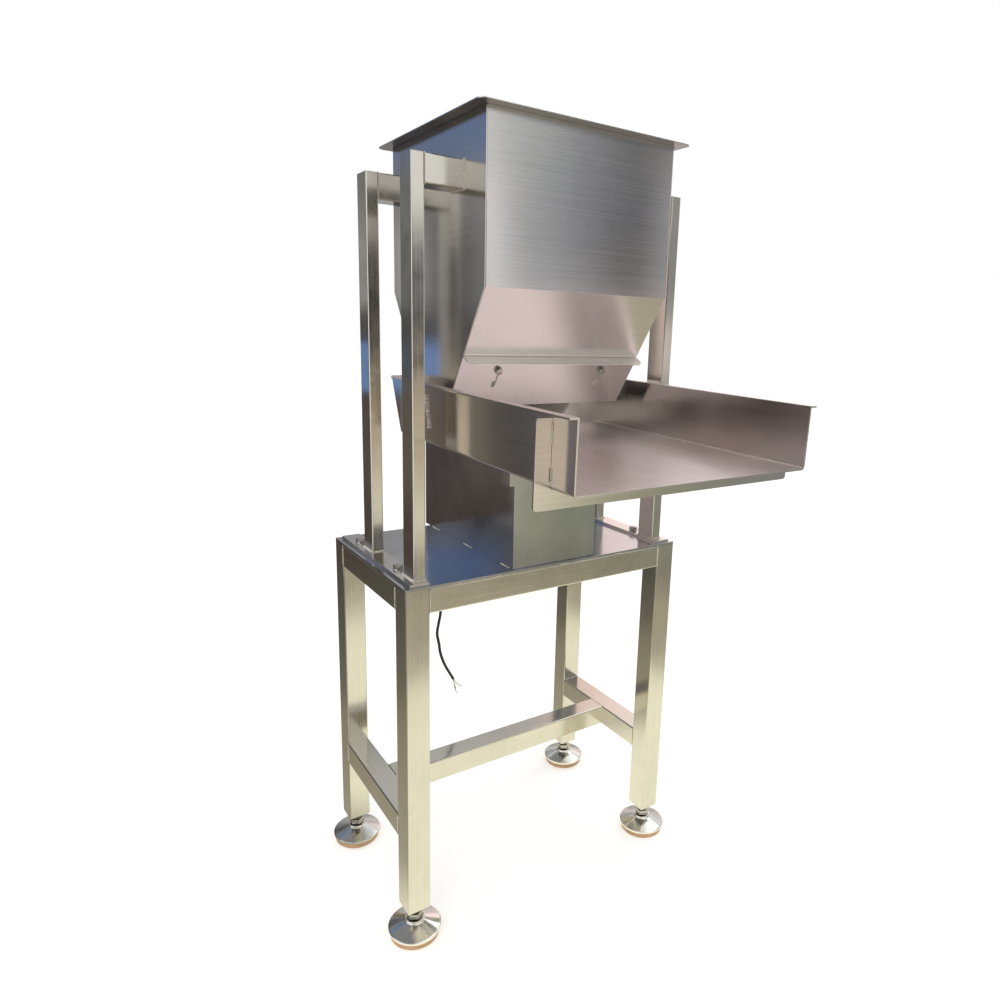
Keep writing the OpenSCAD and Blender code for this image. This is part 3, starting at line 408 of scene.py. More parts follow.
def finish(name):
    """One of the feeder's finishes, made when it is first asked for. Where its lines can run along more than one
    axis, the name ends in the axis."""
    found = bpy.data.materials.get(name)
    if found:
        return found
    kit = bpy.context.scene.feeder_finish
    tube, sheet, plate = tuple(kit.tube), tuple(kit.sheet), tuple(kit.plate)
    along = AXES.get(name[-1])
    if name.startswith("satin_ground_tube"):
        # Welded stainless tube, ground lengthwise with a fine belt: long soft lines, reflections a little smeared
        return metal(name, tube, 0.17, kit.tube_grain, along, 0.7e-5, stretch=0.2, length=0.16, drift=0.04)
    if name.startswith("brushed_stainless_sheet"):
        # Stainless sheet brushed one way, then cleaned: close hair lines, soft patches from handling
        return metal(name, sheet, 0.17, kit.sheet_grain, along, 0.4e-5, stretch=0.5, length=0.2, clouds=0.2,
                     spread=0.015, drift=0.035, shown=0.6)
    if name == "scuffed_stainless_sheet":
        # The tray's floor, rubbed by the product that slides over it: much duller, in long faint streaks
        return metal(name, linear("#e8dad9"), 0.41, 0.002, Y, 0.5e-5, stretch=0.3, length=0.22,
                     clouds=0.2, spread=0.05, drift=0.07, shown=0.6)
    if name in ("soft_brushed_sheet", "planished_lip_sheet"):
        # The hopper's slope and its gate, brushed again after folding: softer reflections, hair lines across.
        # The gate's folded lip gets a lighter tone: a painted highlight that makes it the brightest strip on the
        # slope
        tone, rough = (sheet, 0.25) if name == "soft_brushed_sheet" else (linear("#f4f0ed"), 0.24)
        return metal(name, tone, rough, 0.002, X, 0.2e-5, stretch=0.5, length=0.25, clouds=0.2, spread=0.012,
                     drift=0.03, shown=0.6)
    if name == "mill_rolled_stainless":
        # Cold-rolled plate as it leaves the mill: smooth, slightly cloudy, with no lines to see
        return metal(name, plate, 0.17, 0.006, Y, 0.5e-5, clouds=0.12, shown=0.2, spread=0.03)
    if name == "shaded_stainless_flange":
        # The underside of the hopper's flange: a darker tone that is painted shade, and duller than the brushed sheet
        return metal(name, linear("#8f8d8b"), 0.3, kit.sheet_grain, X, 0.8e-5, drift=0.08)
    if name == "polished_turned_steel":
        # Pressed cone, turned and buffed: a near mirror with a faint grain
        return metal(name, tuple(kit.polish), 0.14, 0.0016, None, 0.5e-5, clouds=0.02)
    if name == "machined_fastener":
        # Bright stainless screws: smooth flats, fine tool marks
        return metal(name, tuple(kit.screw), 0.22, 0.0008, None, 0.6e-5, drift=0.08, clouds=0.006)
    if name == "brushed_off_weld":
        # Arc weld run, wire-brushed: rough ripples, dulled and slightly straw-tinted
        return metal(name, linear("#e9e4da"), 0.4, 0.0012, None, 3e-5, drift=0.12, clouds=0.006, spread=0.1)
    if name == "spring_steel_strip":
        # Hardened strip, oiled: dark and smooth
        return metal(name, linear("#6f6c68"), 0.33, 0.001, Z, 1e-5, drift=0.1, stretch=0.4)
    if name == "stacked_laminations":
        # Punched electrical sheets in a stack: dark edges every 0.5 mm, drawn a little coarser
        return metal(name, linear("#77736e"), 0.45, 0.0007, Z, 3e-5, drift=0.2)
    if name == "enamelled_copper":
        # Enamelled magnet wire wound in layers: warm and glossy
        return metal(name, linear("#b06a3a"), 0.28, 0.001, Y, 9e-5, drift=0.14)
    if name == "bare_copper_strand":
        # Tinned copper strands, bent by hand
        return metal(name, linear("#b3aca1"), 0.35, 0.0004, Z, 4e-5, drift=0.15, clouds=0.004)
    if name == "painted_casting":
        # Grey machine enamel over sand-cast iron: slight orange peel
        return plain(name, tuple(kit.cast), 0.48, 0.003, 6e-5)
    if name == "moulded_tan_rubber":
        # Natural rubber pad, moulded: matt, with a faint bloom
        return plain(name, tuple(kit.pad), 0.62, 0.0012, 6e-5, drift=0.18, specular=0.35)
    if name == "moulded_black_rubber":
        # Carbon-black rubber: dull, scuffed
        return plain(name, linear("#232323"), 0.66, 0.0012, 6e-5, specular=0.35)
    if name == "moulded_black_nylon":
        # Glass-filled nylon gland: satin, with a fine spark-eroded texture
        return plain(name, linear("#1f2022"), 0.5, 0.0006, 3e-5)
    if name == "extruded_cable_jacket":
        # PVC jacket, extruded: satin, with fine waves from the core
        return plain(name, tuple(kit.jacket), 0.46, 0.0025, 4e-5)
    raise RuntimeError(f"there is no finish named {name}")


# Pieces


class FEEDER_OT_camera(bpy.types.Operator):
    """Places the camera at the photograph's viewing angle"""

    bl_idname = "feeder.camera"
    bl_label = "Camera"

    def execute(self, context):
        view = context.scene.feeder_view
        data = bpy.data.cameras.new("feeder_camera")
        data.lens, data.sensor_width = view.lens, 36
        data.shift_x, data.shift_y = view.shift
        data.clip_start, data.clip_end = 0.05, 100
        camera = bpy.data.objects.new("feeder_camera", data)
        context.scene.collection.objects.link(camera)
        az, el, roll = view.azimuth, view.elevation, view.roll
        back = Vector((math.sin(az) * math.cos(el), -math.cos(az) * math.cos(el), math.sin(el)))
        right = Vector((math.cos(az), math.sin(az), 0))
        up = back.cross(right)
        across = right * math.cos(roll) + up * math.sin(roll)
        upright = up * math.cos(roll) - right * math.sin(roll)
        turn = Matrix((across, upright, back)).transposed().to_4x4()
        camera.matrix_world = Matrix.Translation(view.place) @ turn
        context.scene.camera = camera
        return {"FINISHED"}


# The cable's line from the gland, in metres from its exit, and the three wires past its end
CABLE_EXIT = Vector(on_stand(-0.085, 0.130, 0.735))
CABLE_LINE = [
    (0, 0, 0), (0, 0, -0.020), (-0.003, 0.001, -0.045), (-0.008, 0.004, -0.085), (-0.013, 0.008, -0.125),
    (-0.016, 0.012, -0.160), (-0.017, 0.015, -0.185), (-0.020, 0.017, -0.205), (-0.023, 0.020, -0.234),
    (-0.018, 0.020, -0.263), (-0.014, 0.020, -0.289), (-0.002, 0.020, -0.323), (0.022, 0.020, -0.368),
]
WIRE_LINES = [
    [(0.0215, 0.020, -0.3665), (0.031, 0.020, -0.382), (0.046, 0.020, -0.395)],
    [(0.0205, 0.0212, -0.3665), (0.027, 0.023, -0.385), (0.034, 0.027, -0.401)],
    [(0.0205, 0.0188, -0.3665), (0.024, 0.016, -0.387), (0.028, 0.013, -0.405)],
]


def smooth_line(points, steps):
    """Points on a Catmull-Rom curve through the given ones, moved to the cable's exit."""
    points = [Vector(p) for p in points]
    ends = [2 * points[0] - points[1], *points, 2 * points[-1] - points[-2]]
    out = []
    for a, b, c, d in zip(ends, ends[1:], ends[2:], ends[3:]):
        for i in range(steps):
            t = i / steps
            out.append(0.5 * (2 * b + (c - a) * t + (2 * a - 5 * b + 4 * c - d) * t * t
                              + (3 * b - a - 3 * c + d) * t ** 3))
    return [CABLE_EXIT + p for p in [*out, points[-1]]]


def flex(name, lines, thickness, material):
    """A round flexible piece on one or more lines, as a curve."""
    curve = bpy.data.curves.new(name, "CURVE")
    curve.dimensions = "3D"
    curve.bevel_depth = thickness / 2
    curve.bevel_resolution = 4
    curve.use_fill_caps = True
    for line in lines:
        run = curve.splines.new("POLY")
        run.points.add(len(line) - 1)
        for spot, p in zip(run.points, line):
            spot.co = (*p, 1)
    curve.materials.append(material)
    made = bpy.data.objects.new(name, curve)
    bpy.context.scene.collection.objects.link(made)
    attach(made, "stand")
    return made


class FEEDER_OT_cable(bpy.types.Operator):
    """Makes the hanging cable, its bare wires and its bend sleeve"""

    bl_idname = "feeder.cable"
    bl_label = "Cable"

    def execute(self, context):
        size = context.scene.feeder_cable
        line = smooth_line(CABLE_LINE, size.smoothness)
        cable = flex("cable", [line], size.thickness, finish("extruded_cable_jacket"))
        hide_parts("power_cable")
        wires = flex("cable_wires", [smooth_line(wire, 4) for wire in WIRE_LINES], size.wire,
                     finish("bare_copper_strand"))
        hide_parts("cable_conductors")
        # The sleeve: a collar in the gland, five ribs that get slimmer, and its end round the cable
        shape = bmesh.new()
        outline = [(0.0036, 0), (0.0070, 0.001), (0.0072, -0.002)]
        for i in range(5):
            low = -0.004 - 0.005 * i
            wide = 0.0068 - 0.0005 * i
            slim = wide - 0.0009
            outline += [(wide, low), (wide, low - 0.0022), (slim, low - 0.0030), (slim, low - 0.0042)]
        outline += [(0.0042, -0.0295), (0.0036, -0.0300), (0.0036, 0)]
        turned(shape, outline, Matrix.Translation(CABLE_EXIT), 28)
        piece("cable_sleeve", shape, "stand", [finish("moulded_black_rubber")], flat=False)
        return {"FINISHED"}


class FEEDER_OT_stand(bpy.types.Operator):
    """Finishes the stand's tubes, the posts, the arms, the table plate and the cable gland"""

    bl_idname = "feeder.stand"
    bl_label = "Stand"

    def execute(self, context):
        dress([f"leg_{c}" for c in LEGS] + [f"post_{c}" for c in LEGS], finish("satin_ground_tube_z"))
        dress(["rail_front", "rail_rear", "stretcher_centre", "hopper_arms"], finish("satin_ground_tube_x"))
        dress(["rail_left", "rail_right", "stretcher_left", "stretcher_right"], finish("satin_ground_tube_y"))
        edge = context.scene.feeder_finish.edge
        softened("table_plate", [finish("mill_rolled_stainless")], edge)
        softened("base_strips", [finish("brushed_stainless_sheet_y")], edge)
        dress(["cable_gland"], finish("moulded_black_nylon"))
        return {"FINISHED"}


class FEEDER_OT_hopper(bpy.types.Operator):
    """Finishes the hopper's sheets and its flange"""

    bl_idname = "feeder.hopper"
    bl_label = "Hopper"

    def execute(self, context):
        kit = context.scene.feeder_finish
        slope = Vector((0, -math.cos(SLOPE), -math.sin(SLOPE)))
        softened("hopper_front", [finish("brushed_stainless_sheet_x"), finish("soft_brushed_sheet")], kit.edge,
                 looks=slope)
        softened("hopper_rear", [finish("brushed_stainless_sheet_x")], kit.edge)
        softened("hopper_side_left", [finish("brushed_stainless_sheet_y")], kit.corner, 3)
        softened("hopper_side_right", [finish("brushed_stainless_sheet_y")], kit.corner, 3)
        # The flange's downward faces get the darker tone of painted shade
        softened("hopper_flange", [finish("brushed_stainless_sheet_x"), finish("shaded_stainless_flange")], kit.edge,
                 looks=DOWN)
        return {"FINISHED"}


class FEEDER_OT_gate(bpy.types.Operator):
    """Finishes the sliding gate"""

    bl_idname = "feeder.gate"
    bl_label = "Gate"

    def execute(self, context):
        lip = Vector((0, -math.sin(SLOPE), math.cos(SLOPE)))
        # The lip's faces take the lighter tone of the painted highlight
        softened("gate", [finish("soft_brushed_sheet"), finish("planished_lip_sheet")],
                 context.scene.feeder_finish.edge, looks=lip)
        return {"FINISHED"}


class FEEDER_OT_tray(bpy.types.Operator):
    """Finishes the tray, its rear panel, its collar and its skirt"""

    bl_idname = "feeder.tray"
    bl_label = "Tray"

    def execute(self, context):
        edge = context.scene.feeder_finish.edge
        softened("tray_pan", [finish("brushed_stainless_sheet_y"), finish("scuffed_stainless_sheet")], edge)
        softened("tray_rear_panel", [finish("brushed_stainless_sheet_x")], edge)
        softened("tray_collar", [finish("brushed_stainless_sheet_x")], edge)
        softened("tray_skirt", [finish("mill_rolled_stainless")], edge)
        return {"FINISHED"}


class FEEDER_OT_drive(bpy.types.Operator):
    """Finishes the housing and the spring drive inside it"""

    bl_idname = "feeder.drive"
    bl_label = "Drive"

    def execute(self, context):
        edge = context.scene.feeder_finish.edge
        softened("housing_shell", [finish("mill_rolled_stainless")], edge, 3)
        softened("housing_rear_cover", [finish("mill_rolled_stainless")], edge)
        dress(["drive_base", "carrier", "lower_clamps", "upper_clamps"], finish("painted_casting"))
        dress(["front_leaf_springs", "rear_leaf_springs"], finish("spring_steel_strip"))
        dress(["isolators"], finish("moulded_black_rubber"))
        dress(["isolator_studs", "carrier_nuts"], finish("machined_fastener"))
        dress(["magnet_core", "armature"], finish("stacked_laminations"))
        dress(["magnet_coil"], finish("enamelled_copper"))
        return {"FINISHED"}


class FEEDER_OT_fasteners(bpy.types.Operator):
    """Makes the strip bolts, the gate screws and the feet's lock nuts"""

    bl_idname = "feeder.fasteners"
    bl_label = "Fasteners"

    def execute(self, context):
        # M10 bolts through the base strips and the plate: washer, head, shank, and the nut under the plate
        flats, chamfer = 0.017, 0.0011
        shape = bmesh.new()
        for x in (-0.308, 0.308):
            for y in (-0.090, 0.123):
                at = Matrix.Translation(on_stand(x, y))
                washer(shape, 0.010, 0.0050, STRIP_TOP + 0.00005, STRIP_TOP + 0.002, at)
                hexagon(shape, flats, STRIP_TOP + 0.00205, STRIP_TOP + 0.0084, at, chamfer)
                turned(shape, [(0, 0.7505), (0.0042, 0.7505), (0.0048, 0.7512), (0.0048, 0.776), (0, 0.776)], at, 24)
                hexagon(shape, flats, 0.7531, 0.7609, at, chamfer, both=True)
        hardware("strip_bolts", shape, "stand")

        # M8 screws through the gate's slots, square to the slope, some way down from its fold
        flats, chamfer = 0.013, 0.0009
        fold_y, fold_z, down = -0.257, 1.320, 0.1773
        shape = bmesh.new()
        for x in (-0.127, 0.127):
            spot = (x, fold_y + TABLE_Y + down * math.sin(SLOPE), fold_z - down * math.cos(SLOPE))
            at = Matrix.Translation(spot) @ Matrix.Rotation(math.pi / 2 + SLOPE, 4, "X")
            washer(shape, 0.0080, 0.0040, 0.0023, 0.0038, at)
            hexagon(shape, flats, 0.0038, 0.0091, at, chamfer)
            turned(shape, [(0, -0.0105), (0.0034, -0.0105), (0.0039, -0.0099), (0.0039, 0.0042), (0, 0.0042)], at, 24)
            hexagon(shape, flats, -0.0085, -0.0021, at, chamfer, both=True)
        hardware("gate_screws", shape, "stand")

        # M16 nuts under the legs
        shape = bmesh.new()
        for x, y in LEGS.values():
            hexagon(shape, 0.024, 0.0581, 0.0679, Matrix.Translation(on_stand(x, y)), 0.0014, both=True)
        hardware("lock_nuts", shape, "stand")
        return {"FINISHED"}


# The stud's ball and neck, and its M16 shank, as (radius, height) points. The ball stays clear of the base at
# every tilt
BALL = [(0, 0.0182), (0.004, 0.0190), (0.0074, 0.0220), (0.0089, 0.0262), (0.0083, 0.0303), (0.0063, 0.0333),
        (0.0060, 0.0352), (0.0060, 0.0400), (0, 0.0400)]
SHANK = [(0, 0.0515), (0.0071, 0.0515), (0.0071, 0.1470), (0.0062, 0.1480), (0, 0.1480)]


class FEEDER_OT_feet(bpy.types.Operator):
    """Makes the levelling feet: threaded studs, polished cones and rubber pads"""

    bl_idname = "feeder.feet"
    bl_label = "Feet"

    def execute(self, context):
        for corner, (x, y) in LEGS.items():
            at = Matrix.Translation(on_stand(x, y))
            shape = bmesh.new()
            turned(shape, BALL, at, 40)
            hexagon(shape, 0.030, 0.0402, 0.0518, at, 0.0016, both=True)
            turned(shape, SHANK, at, 28)
            threaded(shape, 0.0080, 0.0020, 0.0520, 0.1140, at)
            hardware(f"foot_stud_{corner}", shape, f"foot_stud_{corner}")
            softened(f"foot_base_{corner}", [finish("polished_turned_steel")], 0.0005)
        dress([f"foot_pad_{c}" for c in LEGS], finish("moulded_tan_rubber"))
        return {"FINISHED"}


# Heights of the seams at the rails' and the stretchers' ends, and of the stretchers' lower and upper edges
RAIL_SEAM, STRETCHER_SEAM, STRETCHER_EDGES = (0.716, 0.760), (0.225, 0.269), (0.2218, 0.2722)


class FEEDER_OT_welds(bpy.types.Operator):
    """Lays the weld beads of the posts, the arms, the rails, the tray and the housing"""

    bl_idname = "feeder.welds"
    bl_label = "Welds"

    def execute(self, context):
        width = context.scene.feeder_finish.bead
        # How far a bead's middle stands off the face it lies on
        out = 0.0003
        shape = bmesh.new()
        arm_low, arm_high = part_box("hopper_arms")[0].z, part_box("hopper_arms")[1].z
        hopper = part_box("hopper_side_right")[1].x
        for i, corner in enumerate(LEGS):
            # Round the post's foot, then round the arm's two ends
            low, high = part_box("post_" + corner)
            x0, x1, y0, y1, z = low.x - out, high.x + out, low.y - out, high.y + out, STRIP_TOP + 0.0008
            for a, b in (((x0, y0), (x1, y0)), ((x1, y0), (x1, y1)), ((x1, y1), (x0, y1)), ((x0, y1), (x0, y0))):
                bead(shape, (*a, z), (*b, z), 0.72 * width, i)
            side = -1 if x0 < 0 else 1
            inner = x1 if x0 < 0 else x0
            for x, size in ((inner, 0.3), (side * (hopper + 0.0006), 0.55)):
                for y in (y0, y1):
                    bead(shape, (x, y, arm_low), (x, y, arm_high), size * width, i)
                for z in (arm_low - out, arm_high + out):
                    bead(shape, (x, y0, z), (x, y1, z), size * width, i)
            # Where the rails and the stretcher meet the leg
            leg_low, leg_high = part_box("leg_" + corner)
            seam = leg_high.x if side < 0 else leg_low.x
            face = leg_low.y - out if "front" in corner else leg_high.y + out
            flank = leg_low.x - out if side < 0 else leg_high.x + out
            edge = leg_high.y if "front" in corner else leg_low.y
            for x, y in ((seam, face), (flank, edge)):
                bead(shape, (x, y, RAIL_SEAM[0]), (x, y, RAIL_SEAM[1]), 0.45 * width, i)
            for z in STRETCHER_EDGES:
                bead(shape, (leg_low.x + 0.004, edge, z), (leg_high.x - 0.004, edge, z), 0.5 * width, i)
            bead(shape, (flank, edge, STRETCHER_SEAM[0]), (flank, edge, STRETCHER_SEAM[1]), 0.5 * width, i)
        # Short stitches along the housing's foot and along the plate's front edge
        for side in (-1, 1):
            x, z = side * 0.1034, 0.7684
            for y0, y1 in ((-0.180, -0.145), (-0.018, 0.022), (0.146, 0.186)):
                bead(shape, on_stand(x, y0, z), on_stand(x, y1, z), 0.4 * width)
        y, z = -0.2003, 0.7632
        for x in (-0.240, -0.152, 0.010, 0.160):
            bead(shape, on_stand(x, y, z), on_stand(x + 0.018, y, z), 0.35 * width, x)
        piece("stand_welds", shape, "stand", [finish("brushed_off_weld")], flat=False)

        # On the tray's walls: a seam in front of the posts, and two stitches where the collar meets them
        shape = bmesh.new()
        for side in (-1, 1):
            x = side * 0.2568
            bead(shape, on_stand(x, -0.112, 1.122), on_stand(x, -0.126, 1.056), 1.35 * width)
            for low, high in ((1.030, 1.050), (1.086, 1.118)):
                bead(shape, on_stand(x, -0.541, low), on_stand(x, -0.5412, high), 0.5 * width)
        piece("tray_welds", shape, "tray", [finish("brushed_off_weld")], flat=False)
        return {"FINISHED"}


# Stage


# Soft panels and screens round the set, in rows by height, as (direction in degrees from the front, to the
# right, and its grey or colour). Metal shows little but what stands round it, so these give the sheets and
# tubes their light and dark bands.
PANELS = {
    "ground": [(-90, 1.2), (-58, 1.2), (-48, 0.6), (0, 0.9), (22, (1.02, 0.97, 0.77)), (29, (0.46, 0.47, 0.32)),
               (40, (0.35, 0.37, 0.26)), (55, 0.3), (90, 0.5), (180, 0.4), (196, (0.09, 0.07, 0.06)),
               (240, (0.09, 0.07, 0.06)), (250, 1.2)],
    "low": [(-90, 1.3), (-58, 1.3), (-50, 0.12), (-42, 0.12), (-40.5, (0.95, 0.86, 0.70)),
            (-20, (0.95, 0.86, 0.68)), (8, (0.60, 0.52, 0.40)), (19, (0.60, 0.50, 0.38)), (22, (0.95, 0.86, 0.70)),
            (27, (0.85, 0.78, 0.64)), (31, (0.44, 0.44, 0.33)), (38, (0.32, 0.33, 0.24)), (50, 0.25), (90, 0.6),
            (130, (0.85, 0.74, 0.70)), (175, 0.5), (196, 0.1), (208.6, (0.09, 0.07, 0.06)),
            (209.4, (0.30, 0.27, 0.22)), (210.4, (0.09, 0.07, 0.06)), (213.9, (0.07, 0.06, 0.05)),
            (214.5, (0.62, 0.57, 0.45)), (215.0, (0.50, 0.46, 0.36)), (216.0, (0.07, 0.06, 0.05)), (222, 0.08),
            (230, (0.25, 0.22, 0.23)), (240, (0.33, 0.29, 0.34)), (250, 1.2)],
    "waist": [(-90, 1.3), (-58, 1.3), (-50, 0.1), (-10, 0.06), (6, 0.04), (21.2, 0.04), (23.6, 0.9), (27, 1.0),
              (46, (1.05, 0.95, 0.92)), (54, 0.3), (90, 0.7), (116, 0.8), (124, (1.3, 1.14, 1.14)),
              (133, (1.25, 1.07, 1.04)), (141, (1.0, 0.78, 0.73)), (148, 0.45), (170, 0.35), (197, 0.08),
              (240, (0.09, 0.085, 0.08)), (250, 1.2)],
    "middle": [(-58, 1.3), (-50, 0.1), (6, 0.04), (21.2, 0.05), (23, 1.04), (26, 1.04),
               (26.9, (0.47, 0.5, 0.53)), (30, (0.40, 0.42, 0.45)), (33, (0.34, 0.36, 0.39)),
               (36.5, (0.22, 0.23, 0.25)), (40, 0.12), (42.8, 0.08), (43.8, 0.22), (45, (0.42, 0.43, 0.47)),
               (50, 0.3), (90, 0.7), (116, 0.9), (124, (1.5, 1.3, 1.3)), (133, (1.35, 1.15, 1.12)),
               (141, (1.1, 0.86, 0.8)), (148, 0.45), (170, 0.35), (197, 0.09), (203.5, 0.16), (205.6, 0.9),
               (207.4, 0.08), (210.5, 0.06), (212.5, 0.14), (213.4, 0.3), (216, 0.2), (240, 0.12), (250, 1.2)],
    "high": [(-90, 1.3), (-58, 1.3), (-48, 0.6), (10, 1.05), (20, 1.1), (24, 1.08), (25.9, 1.0),
             (27, (0.40, 0.43, 0.46)), (30, (0.35, 0.38, 0.41)), (33, (0.30, 0.32, 0.35)),
             (36.5, (0.235, 0.25, 0.275)), (40, (0.15, 0.16, 0.18)), (42.6, (0.08, 0.085, 0.1)),
             (43.8, (0.19, 0.2, 0.22)), (45, (0.45, 0.46, 0.5)), (55, 0.35), (90, 0.8), (150, 0.75), (185, 0.5),
             (200, (0.24, 0.24, 0.22)), (207, 0.24), (211, 0.12), (212.5, 0.2), (213.6, 0.42), (216, 0.25),
             (240, 0.22), (250, 1.2)],
    "top": [(-90, 1.3), (-58, 1.3), (-48, 0.7), (10, 1.05), (20, 1.05), (24, 0.6), (27, (0.43, 0.49, 0.47)),
            (33, (0.32, 0.34, 0.37)), (40, (0.14, 0.15, 0.165)), (42.8, 0.11), (45, 0.3), (55, 0.35), (90, 0.8),
            (150, 0.75), (185, 0.5), (200, (0.14, 0.20, 0.35)), (240, (0.17, 0.24, 0.39)), (250, 1.2)],
}
# Heights between which the row below passes into the named one
PANEL_STEPS = (("low", 0.25, 0.45), ("waist", 0.94, 1.06), ("middle", 1.30, 1.37), ("high", 1.67, 1.86),
               ("top", 1.95, 2.12))
# The blue card's middle from the stand's, its turn round Z, its width and its height
SKY_PLACE, SKY_TURN, SKY_SIZE = (-0.405, 0.850, 1.125), math.radians(27.3), (0.48, 0.15)
# A warm pool of light painted on the floor, which only reflections show: the place and scale of its ball gradient,
# and its tones from the rim to the middle
POOL_SHIFT, POOL_SCALE = (-0.0875, 0.0938, 0.0), (0.3125, 0.3125, 0.3125)
POOL = [(0.0, (0.15, 0.14, 0.12)), (0.25, (0.19, 0.18, 0.15)), (0.375, (0.25, 0.24, 0.19)),
        (0.47, (0.31, 0.29, 0.23)), (0.53, (0.44, 0.40, 0.30)), (0.625, (0.42, 0.39, 0.29)),
        (0.725, (0.43, 0.40, 0.31)), (0.756, (0.74, 0.71, 0.57)), (0.785, (1.0, 0.98, 0.79))]


def mirrored_only(name, shape, made):
    """A panel of the studio that nothing but a reflection shows."""
    panel = meshed(name, shape, [made])
    panel.visible_camera = panel.visible_diffuse = panel.visible_shadow = panel.visible_volume_scatter = False


def glowing(name):
    """An empty glowing material, its tree and the glow that a pattern links to."""
    made = bpy.data.materials.new(name)
    tree = empty_tree(made)
    glow = node(tree, "ShaderNodeEmission")
    node(tree, "ShaderNodeOutputMaterial", {"Surface": glow.outputs[0]})
    return made, tree, glow


def soft_panels(radius, height):
    """The ring of soft panels, the ceiling over it and the blue card behind the stand."""
    made, tree, glow = glowing("soft_panels")
    place = node(tree, "ShaderNodeTexCoord").outputs["Object"]
    turn = node(tree, "ShaderNodeTexGradient", {"Vector": place}, gradient_type="RADIAL").outputs["Fac"]
    level = node(tree, "ShaderNodeSeparateXYZ", {"Vector": place}).outputs["Z"]
    rows = {name: node(tree, "ShaderNodeValToRGB", {"Fac": turn},
                       stops=[(0.25 + angle / 360, tone) for angle, tone in row]).outputs["Color"]
            for name, row in PANELS.items()}
    shown = rows["ground"]
    for name, low, high in PANEL_STEPS:
        blend = node(tree, "ShaderNodeMapRange", {"Value": level, "From Min": low, "From Max": high})
        shown = node(tree, "ShaderNodeMix", {0: blend.outputs[0], 6: shown, 7: rows[name]},
                     data_type="RGBA").outputs[2]
    tree.links.new(shown, glow.inputs["Color"])
    shape = bmesh.new()
    bmesh.ops.create_cone(shape, cap_ends=False, segments=128, radius1=radius, radius2=radius, depth=height,
                          matrix=Matrix.Translation((0, 0, height / 2)))
    mirrored_only("soft_panels", shape, made)

    # Brighter over the front right, where the tray's floor and the hopper's slope look
    made, tree, glow = glowing("soft_ceiling")
    across = node(tree, "ShaderNodeVectorMath", {0: node(tree, "ShaderNodeTexCoord").outputs["Object"],
                                                 1: (0.8, -0.6, 0.0)}, operation="DOT_PRODUCT")
    level = node(tree, "ShaderNodeMapRange", {"Value": across.outputs["Value"], "From Min": -0.3, "From Max": 1.7,
                                              "To Min": 0.25, "To Max": 1.8})
    tree.links.new(level.outputs[0], glow.inputs["Strength"])
    shape = bmesh.new()
    bmesh.ops.create_circle(shape, cap_ends=True, segments=64, radius=radius,
                            matrix=Matrix.Translation((0, 0, height)))
    mirrored_only("soft_ceiling", shape, made)

    # A strip of clear sky behind the stand's left, which the table and the housing's side show
    made, tree, glow = glowing("sky_card")
    glow.inputs["Color"].default_value = (0.19, 0.32, 0.62, 1)
    upright = Matrix.Rotation(SKY_TURN, 4, "Z") @ Matrix.Rotation(math.pi / 2, 4, "X")
    at = Matrix.Translation(on_stand(*SKY_PLACE)) @ upright @ Matrix.Diagonal((*SKY_SIZE, 1, 1))
    shape = bmesh.new()
    bmesh.ops.create_grid(shape, x_segments=1, y_segments=1, size=0.5, matrix=at)
    mirrored_only("sky_card", shape, made)


def white_surround(sky):
    """A world that is white to the camera and in reflections, and lights the set at its own level."""
    world = bpy.data.worlds.new("white_surround")
    bpy.context.scene.world = world
    tree = empty_tree(world)
    path = node(tree, "ShaderNodeLightPath").outputs
    bent = node(tree, "ShaderNodeMath", {0: path["Is Glossy Ray"], 1: path["Is Transmission Ray"]},
                operation="MAXIMUM")
    seen = node(tree, "ShaderNodeMath", {0: path["Is Camera Ray"], 1: bent.outputs[0]}, operation="MAXIMUM")
    level = node(tree, "ShaderNodeMapRange", {"Value": seen.outputs[0], "To Min": sky, "To Max": 1.0})
    light = node(tree, "ShaderNodeBackground", {"Color": (1, 1, 1, 1), "Strength": level.outputs[0]})
    node(tree, "ShaderNodeOutputWorld", {"Surface": light.outputs[0]})


